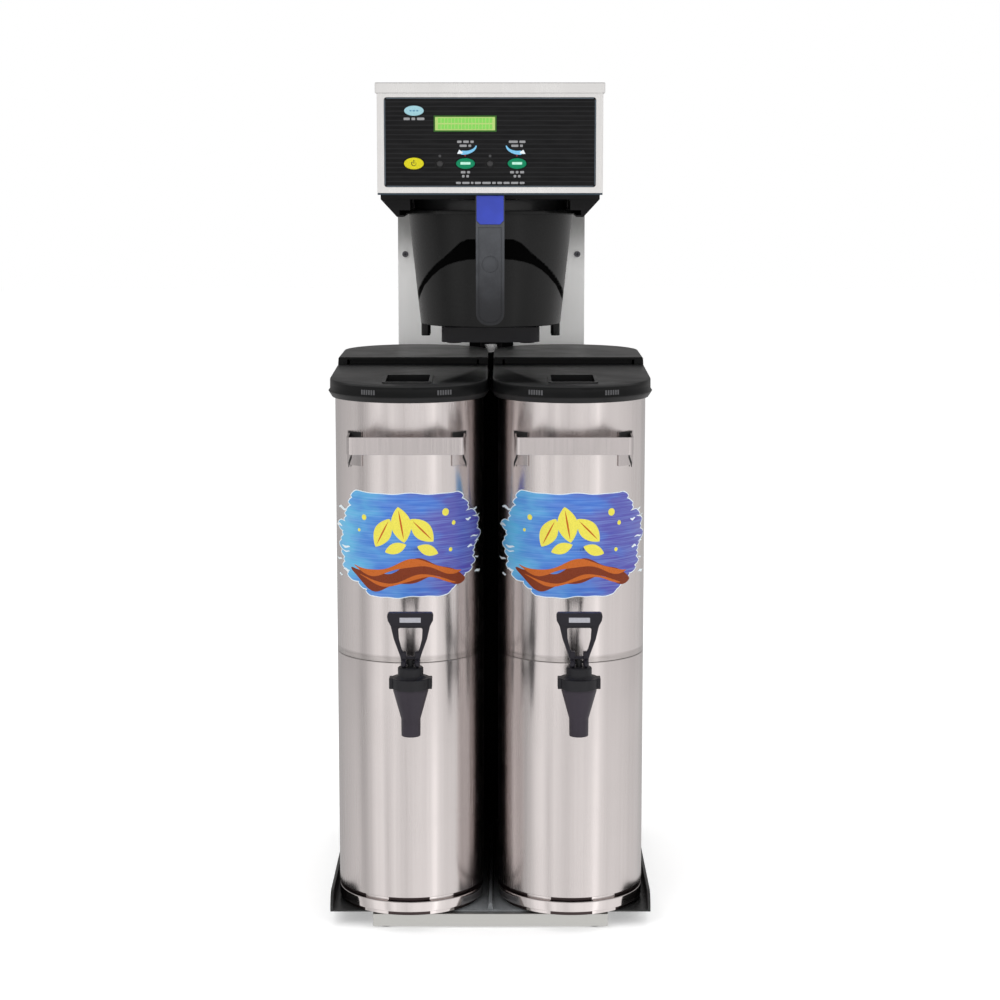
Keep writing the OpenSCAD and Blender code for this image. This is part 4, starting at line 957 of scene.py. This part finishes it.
def layOn(side, name, lift, shapes, ink):
    # lays flat shapes on the dispenser's round front: across is an angle from the front, up is a height
    axis, radius = roundFront(side)
    grids = []
    for lower, upper in shapes:
        t = np.linspace(0, 1, 7)[None, :, None]
        flat = np.asarray(lower)[:, None] * (1 - t) + np.asarray(upper)[:, None] * t
        grids.append((bent(axis, flat[..., 0], radius + lift, flat[..., 1]), False, False))
    mesh = makePiece(f"decal_{name}_{side}", grids, ink, "dispenser_" + side, closed=False).data
    layer = mesh.uv_layers.new(name="decalPlace")
    corner = readAll(mesh.loops, "vertex_index", 1, int)
    spot = readAll(mesh.vertices, "co", 3) / mm
    across = np.degrees(np.arctan2(spot[:, 0] - axis[0], axis[1] - spot[:, 1]))
    uv = joined((across / decal["halfTurn"] + 1) / 2, (spot[:, 2] - decal["low"]) / (decal["high"] - decal["low"]))
    layer.data.foreach_set("uv", uv[corner].ravel())


def stroke(across, line, half):
    # a band about a line, as its lower and upper edge
    return joined(across, line - half), joined(across, line + half)


def brushStrokes():
    # level strokes one above another, each a wavy band with pointed, staggered ends
    chance, shapes, count = np.random.default_rng(decal["seed"]), [], decal["strokes"]
    tall = (decal["high"] - decal["low"]) / count
    for k in range(count):
        middle = decal["low"] + tall * (k + 0.5)
        reach = 1 - 0.42 * abs((k - 0.52 * count) / (0.5 * count)) ** 2.4
        left, right = (turn * reach * chance.uniform(0.8, 1.0) for turn in (-decal["halfTurn"], decal["halfTurn"]))
        t = np.linspace(0, 1, 60)
        swell = np.clip(np.minimum(t, 1 - t) / 0.06, 0, 1) ** 0.7
        wave = 0.7 * np.sin(t * chance.uniform(9, 16) + chance.uniform(0, 6)) + 0.4 * np.sin(t * chance.uniform(25, 45))
        tilt = (t - 0.5) * chance.uniform(-3, 3)
        shapes.append(stroke(left + (right - left) * t, middle + tilt + wave, tall * 0.78 * swell))
    return shapes


def dryStrokes():
    # short pale streaks near both ends of the ground, thin and pointed
    chance, shapes = np.random.default_rng(decal["seed"] + 1), []
    for k in range(decal["dry"]):
        side = -1 if k % 2 else 1
        middle = decal["low"] + (decal["high"] - decal["low"]) * chance.uniform(0.12, 0.9)
        start = side * decal["halfTurn"] * chance.uniform(0.62, 0.84)
        t = np.linspace(0, 1, 16)
        across = start + side * t * chance.uniform(6, 15)
        half = chance.uniform(0.6, 1.5) * np.sin(math.pi * t) ** 0.6
        shapes.append(stroke(across, middle + 0.6 * np.sin(t * 7 + k), half))
    return shapes


def waveBand(height, swell, thick, phase, reach):
    # a ribbon that rises and falls as a sine, thinning towards both ends
    t = np.linspace(-1, 1, 90)
    half = thick * np.sqrt(np.clip(1 - t ** 2, 0, 1)) * (0.75 + 0.25 * np.sin(t * 9 + phase))
    return stroke(t * reach, height + swell * np.sin(t * 4.2 + phase), half)


def asTurn(x):
    # a width on the round front as an angle
    return np.degrees(x / decal["reach"])


def leafShape(x, z, length, lean, fat=0.28):
    # a leaf: two arcs that meet at both tips, turned by its lean
    t = np.linspace(0, 1, 30)
    bulge = fat * length * np.sin(math.pi * t) ** 0.8
    c, s = math.cos(math.radians(lean)), math.sin(math.radians(lean))
    along = length * (t - 0.5)
    return [joined(asTurn(x + along * c - b * s), z + along * s + b * c) for b in (-bulge, bulge)]


def dotShape(x, z, radius):
    turn = np.linspace(math.pi, 0, 20)
    return [joined(asTurn(x + radius * np.cos(turn)), z + s * radius * np.sin(turn)) for s in (-1, 1)]


def makeDecal(side):
    strokes = brushStrokes()
    halo = [(a * (1.01, 1) - (0, 0.9), b * (1.01, 1) + (0, 0.9)) for a, b in strokes]
    leaves, veins = ([leafShape(*row) for row in decal[k]] for k in ("leaves", "veins"))
    for name, lift, shapes, ink in (
            ("halo", 0.06, halo, "decalPale"), ("ground", 0.1, strokes, "decalGround"),
            ("dry_strokes", 0.13, dryStrokes(), "decalPale"),
            ("wave_low", 0.14, [waveBand(*decal["lowWave"])], "decalAmber"),
            ("wave_high", 0.17, [waveBand(*row) for row in decal["highWaves"]], "decalCopper"),
            ("leaves", 0.14, leaves, "decalLeaf"), ("veins", 0.17, veins, "decalCopper"),
            ("dots", 0.14, [dotShape(*row) for row in decal["dots"]], "decalLeaf")):
        layOn(side, name, lift, shapes, ink)


finishes["decalGround"] = groundInk()
for side in sides:
    makeDecal(side)
print("decals ready")


# Every other solid of the frame keeps its shape and takes its finish

for node, piece in nodes.items():
    piece.data.materials.clear()
    piece.data.materials.append(finishes[slotOf[node]])
print("inner pieces finished")


# Studio: a white tent with soft strips, a pale floor and large soft lamps

paper = (1, 1, 1)
studio = {
    "surround": 0.78,
    "gloss": 1.27,
    "tiers": [  # (degrees from the front, brightness), from the lowest band of height to the highest
        [(-180, 0.34), (-152, 0.42), (-125, 0.56), (-107, 0.66), (-92, 0.72), (-80, 0.5), (-68, 0.66), (-57, 0.92),
         (-46, 0.97), (-36, 0.7), (-26, 0.95), (-17, 0.84), (-7, 0.75), (2, 0.86), (11, 0.92), (24, 0.9), (33, 0.98),
         (41, 1.3), (48, 0.92), (61, 0.82), (73, 0.85), (85, 0.82), (98, 0.8), (112, 0.72), (130, 0.68), (150, 0.5),
         (180, 0.34)],
        [(-180, 0.34), (-150, 0.42), (-140, 0.46), (-120, 0.55), (-106, 0.48), (-93, 0.36), (-82, 0.16), (-73, 0.2),
         (-63, 0.8), (-54, 1.15), (-45, 1.3), (-37, 0.95), (-29, 0.62), (-21, 1.1), (-13.5, 0.5), (-6, 0.4),
         (2, 0.38), (10, 0.48), (17.5, 0.54), (25, 0.48), (33, 0.64), (41, 0.92), (49, 1.06), (58, 0.74), (67, 0.72),
         (85, 0.73), (98, 0.68), (113, 0.58), (130, 0.55), (150, 0.44), (180, 0.34)],
        [(-180, 0.27), (-120, 0.4), (-60, 0.7), (-30, 1.1), (0, 1.2), (30, 1.1), (60, 0.7), (120, 0.4), (180, 0.27)],
        [(-180, 0.3), (-120, 0.36), (-60, 0.5), (-25, 0.42), (0, 0.36), (25, 0.42), (60, 0.5), (120, 0.36),
         (180, 0.3)]],
    "bands": ((-0.175, -0.112), (-0.1, -0.085), (0.06, 0.14)),
    "tint": (1.0, 0.985, 0.98),
    "floor": (0.86, 0.86, 0.86),
    "floorGlow": 0.35,
    "floorRings": [0.0, 0.3, 1.2, 4.0, 12.0],
    "aim": (0.0, 0.0, 0.45),
    "lamps": {"keyLamp": ((-1.6, -2.4, 2.6), 2.2, 26), "fillLamp": ((2.0, -1.8, 1.8), 2.2, 16),
              "topLamp": ((0.0, 0.2, 3.0), 2.6, 20)},
}


def lightWorld(setup):
    # brightness for glossy rays follows the compass direction, in soft steps and four bands of height;
    # other rays see an even white
    world = bpy.data.worlds.new("studioWorld")
    world.use_nodes = True
    bpy.context.scene.world = world
    tree = world.node_tree
    tree.nodes.clear()
    axes = axesOf(addNode(tree, "ShaderNodeTexCoord").outputs["Generated"])
    turn = maths(axes["X"], "ARCTAN2", times(axes["Y"], -1.0))
    share = plus(maths(turn, "DIVIDE", 2 * math.pi), 0.5)
    brightest = max(value for strips in setup["tiers"] for _, value in strips)
    colours = []
    for strips in setup["tiers"]:
        ramp = addNode(tree, "ShaderNodeValToRGB", {"Fac": share})
        ramp.color_ramp.interpolation = "EASE"
        stops = ramp.color_ramp.elements
        for k, (angle, value) in enumerate(strips):
            place = angle / 360 + 0.5
            stop = stops[k] if k < 2 else stops.new(place)
            stop.position = place
            stop.color = (*(value / brightest * t for t in setup["tint"]), 1.0)
        colours.append(ramp.outputs["Color"])
    seen = colours[0]
    for (start, end), colour in zip(setup["bands"], colours[1:]):
        seen = mixColours(between(axes["Z"], start, end), seen, colour)
    tent, even, white = (addNode(tree, "ShaderNodeBackground", {"Color": colour, "Strength": strength}).outputs[0]
        for colour, strength in ((seen, brightest * setup["gloss"]), (paper, setup["surround"]), (paper, 1.0)))
    rays = addNode(tree, "ShaderNodeLightPath").outputs
    lit = addNode(tree, "ShaderNodeMixShader", {0: rays["Is Glossy Ray"], 1: even, 2: tent}).outputs[0]
    clear = maths(rays["Is Camera Ray"], "MAXIMUM", rays["Is Transmission Ray"])
    seen = addNode(tree, "ShaderNodeMixShader", {0: clear, 1: lit, 2: white}).outputs[0]
    addNode(tree, "ShaderNodeOutputWorld", {"Surface": seen})


def layFloor(setup):
    # a wide pale disc under the feet; the camera sees it a little brighter, so that it reads as white paper
    turn = np.radians(np.arange(0, 360, 3))[:, None]
    reach = np.array(setup["floorRings"])
    points, faces = surfaceOf((joined(np.cos(turn) * reach, np.sin(turn) * reach, 0.0), True, False))
    mesh = bpy.data.meshes.new("paperFloor")
    mesh.from_pydata(points.tolist(), [], faces.tolist())
    floor = placed("paperFloor", mesh)
    material, shader, place = freshMaterial("paper", 0.0, 0.1)
    mottled(shader, stretchedNoise(place, (60, 60, 60), 2.0), setup["floor"], 0.99, 1.0)
    feed(shader, "Roughness", 0.9)
    rays = addNode(shader.id_data, "ShaderNodeLightPath").outputs
    seen = maths(rays["Is Camera Ray"], "MAXIMUM", rays["Is Transmission Ray"])
    feed(shader, "Emission Color", paper)
    feed(shader, "Emission Strength", times(seen, setup["floorGlow"]))
    mesh.materials.append(material)
    floor.visible_glossy = False


def hangLamps(setup):
    # each lamp is a soft disc that faces the middle of the machine
    for name, (place, size, power) in setup["lamps"].items():
        light = bpy.data.lights.new(name, "AREA")
        light.shape = "DISK"
        light.size = size
        light.energy = power
        holder = placed(name, light)
        holder.location = place
        aim = np.array(setup["aim"]) - np.array(place)
        tip, turn = math.atan2(math.hypot(aim[0], aim[1]), -aim[2]), math.atan2(aim[1], aim[0]) - math.pi / 2
        holder.rotation_euler = (tip, 0, turn)
        holder.visible_glossy = False


lightWorld(studio)
layFloor(studio)
hangLamps(studio)
bpy.context.scene.view_settings.view_transform = "Standard"
print("studio ready")
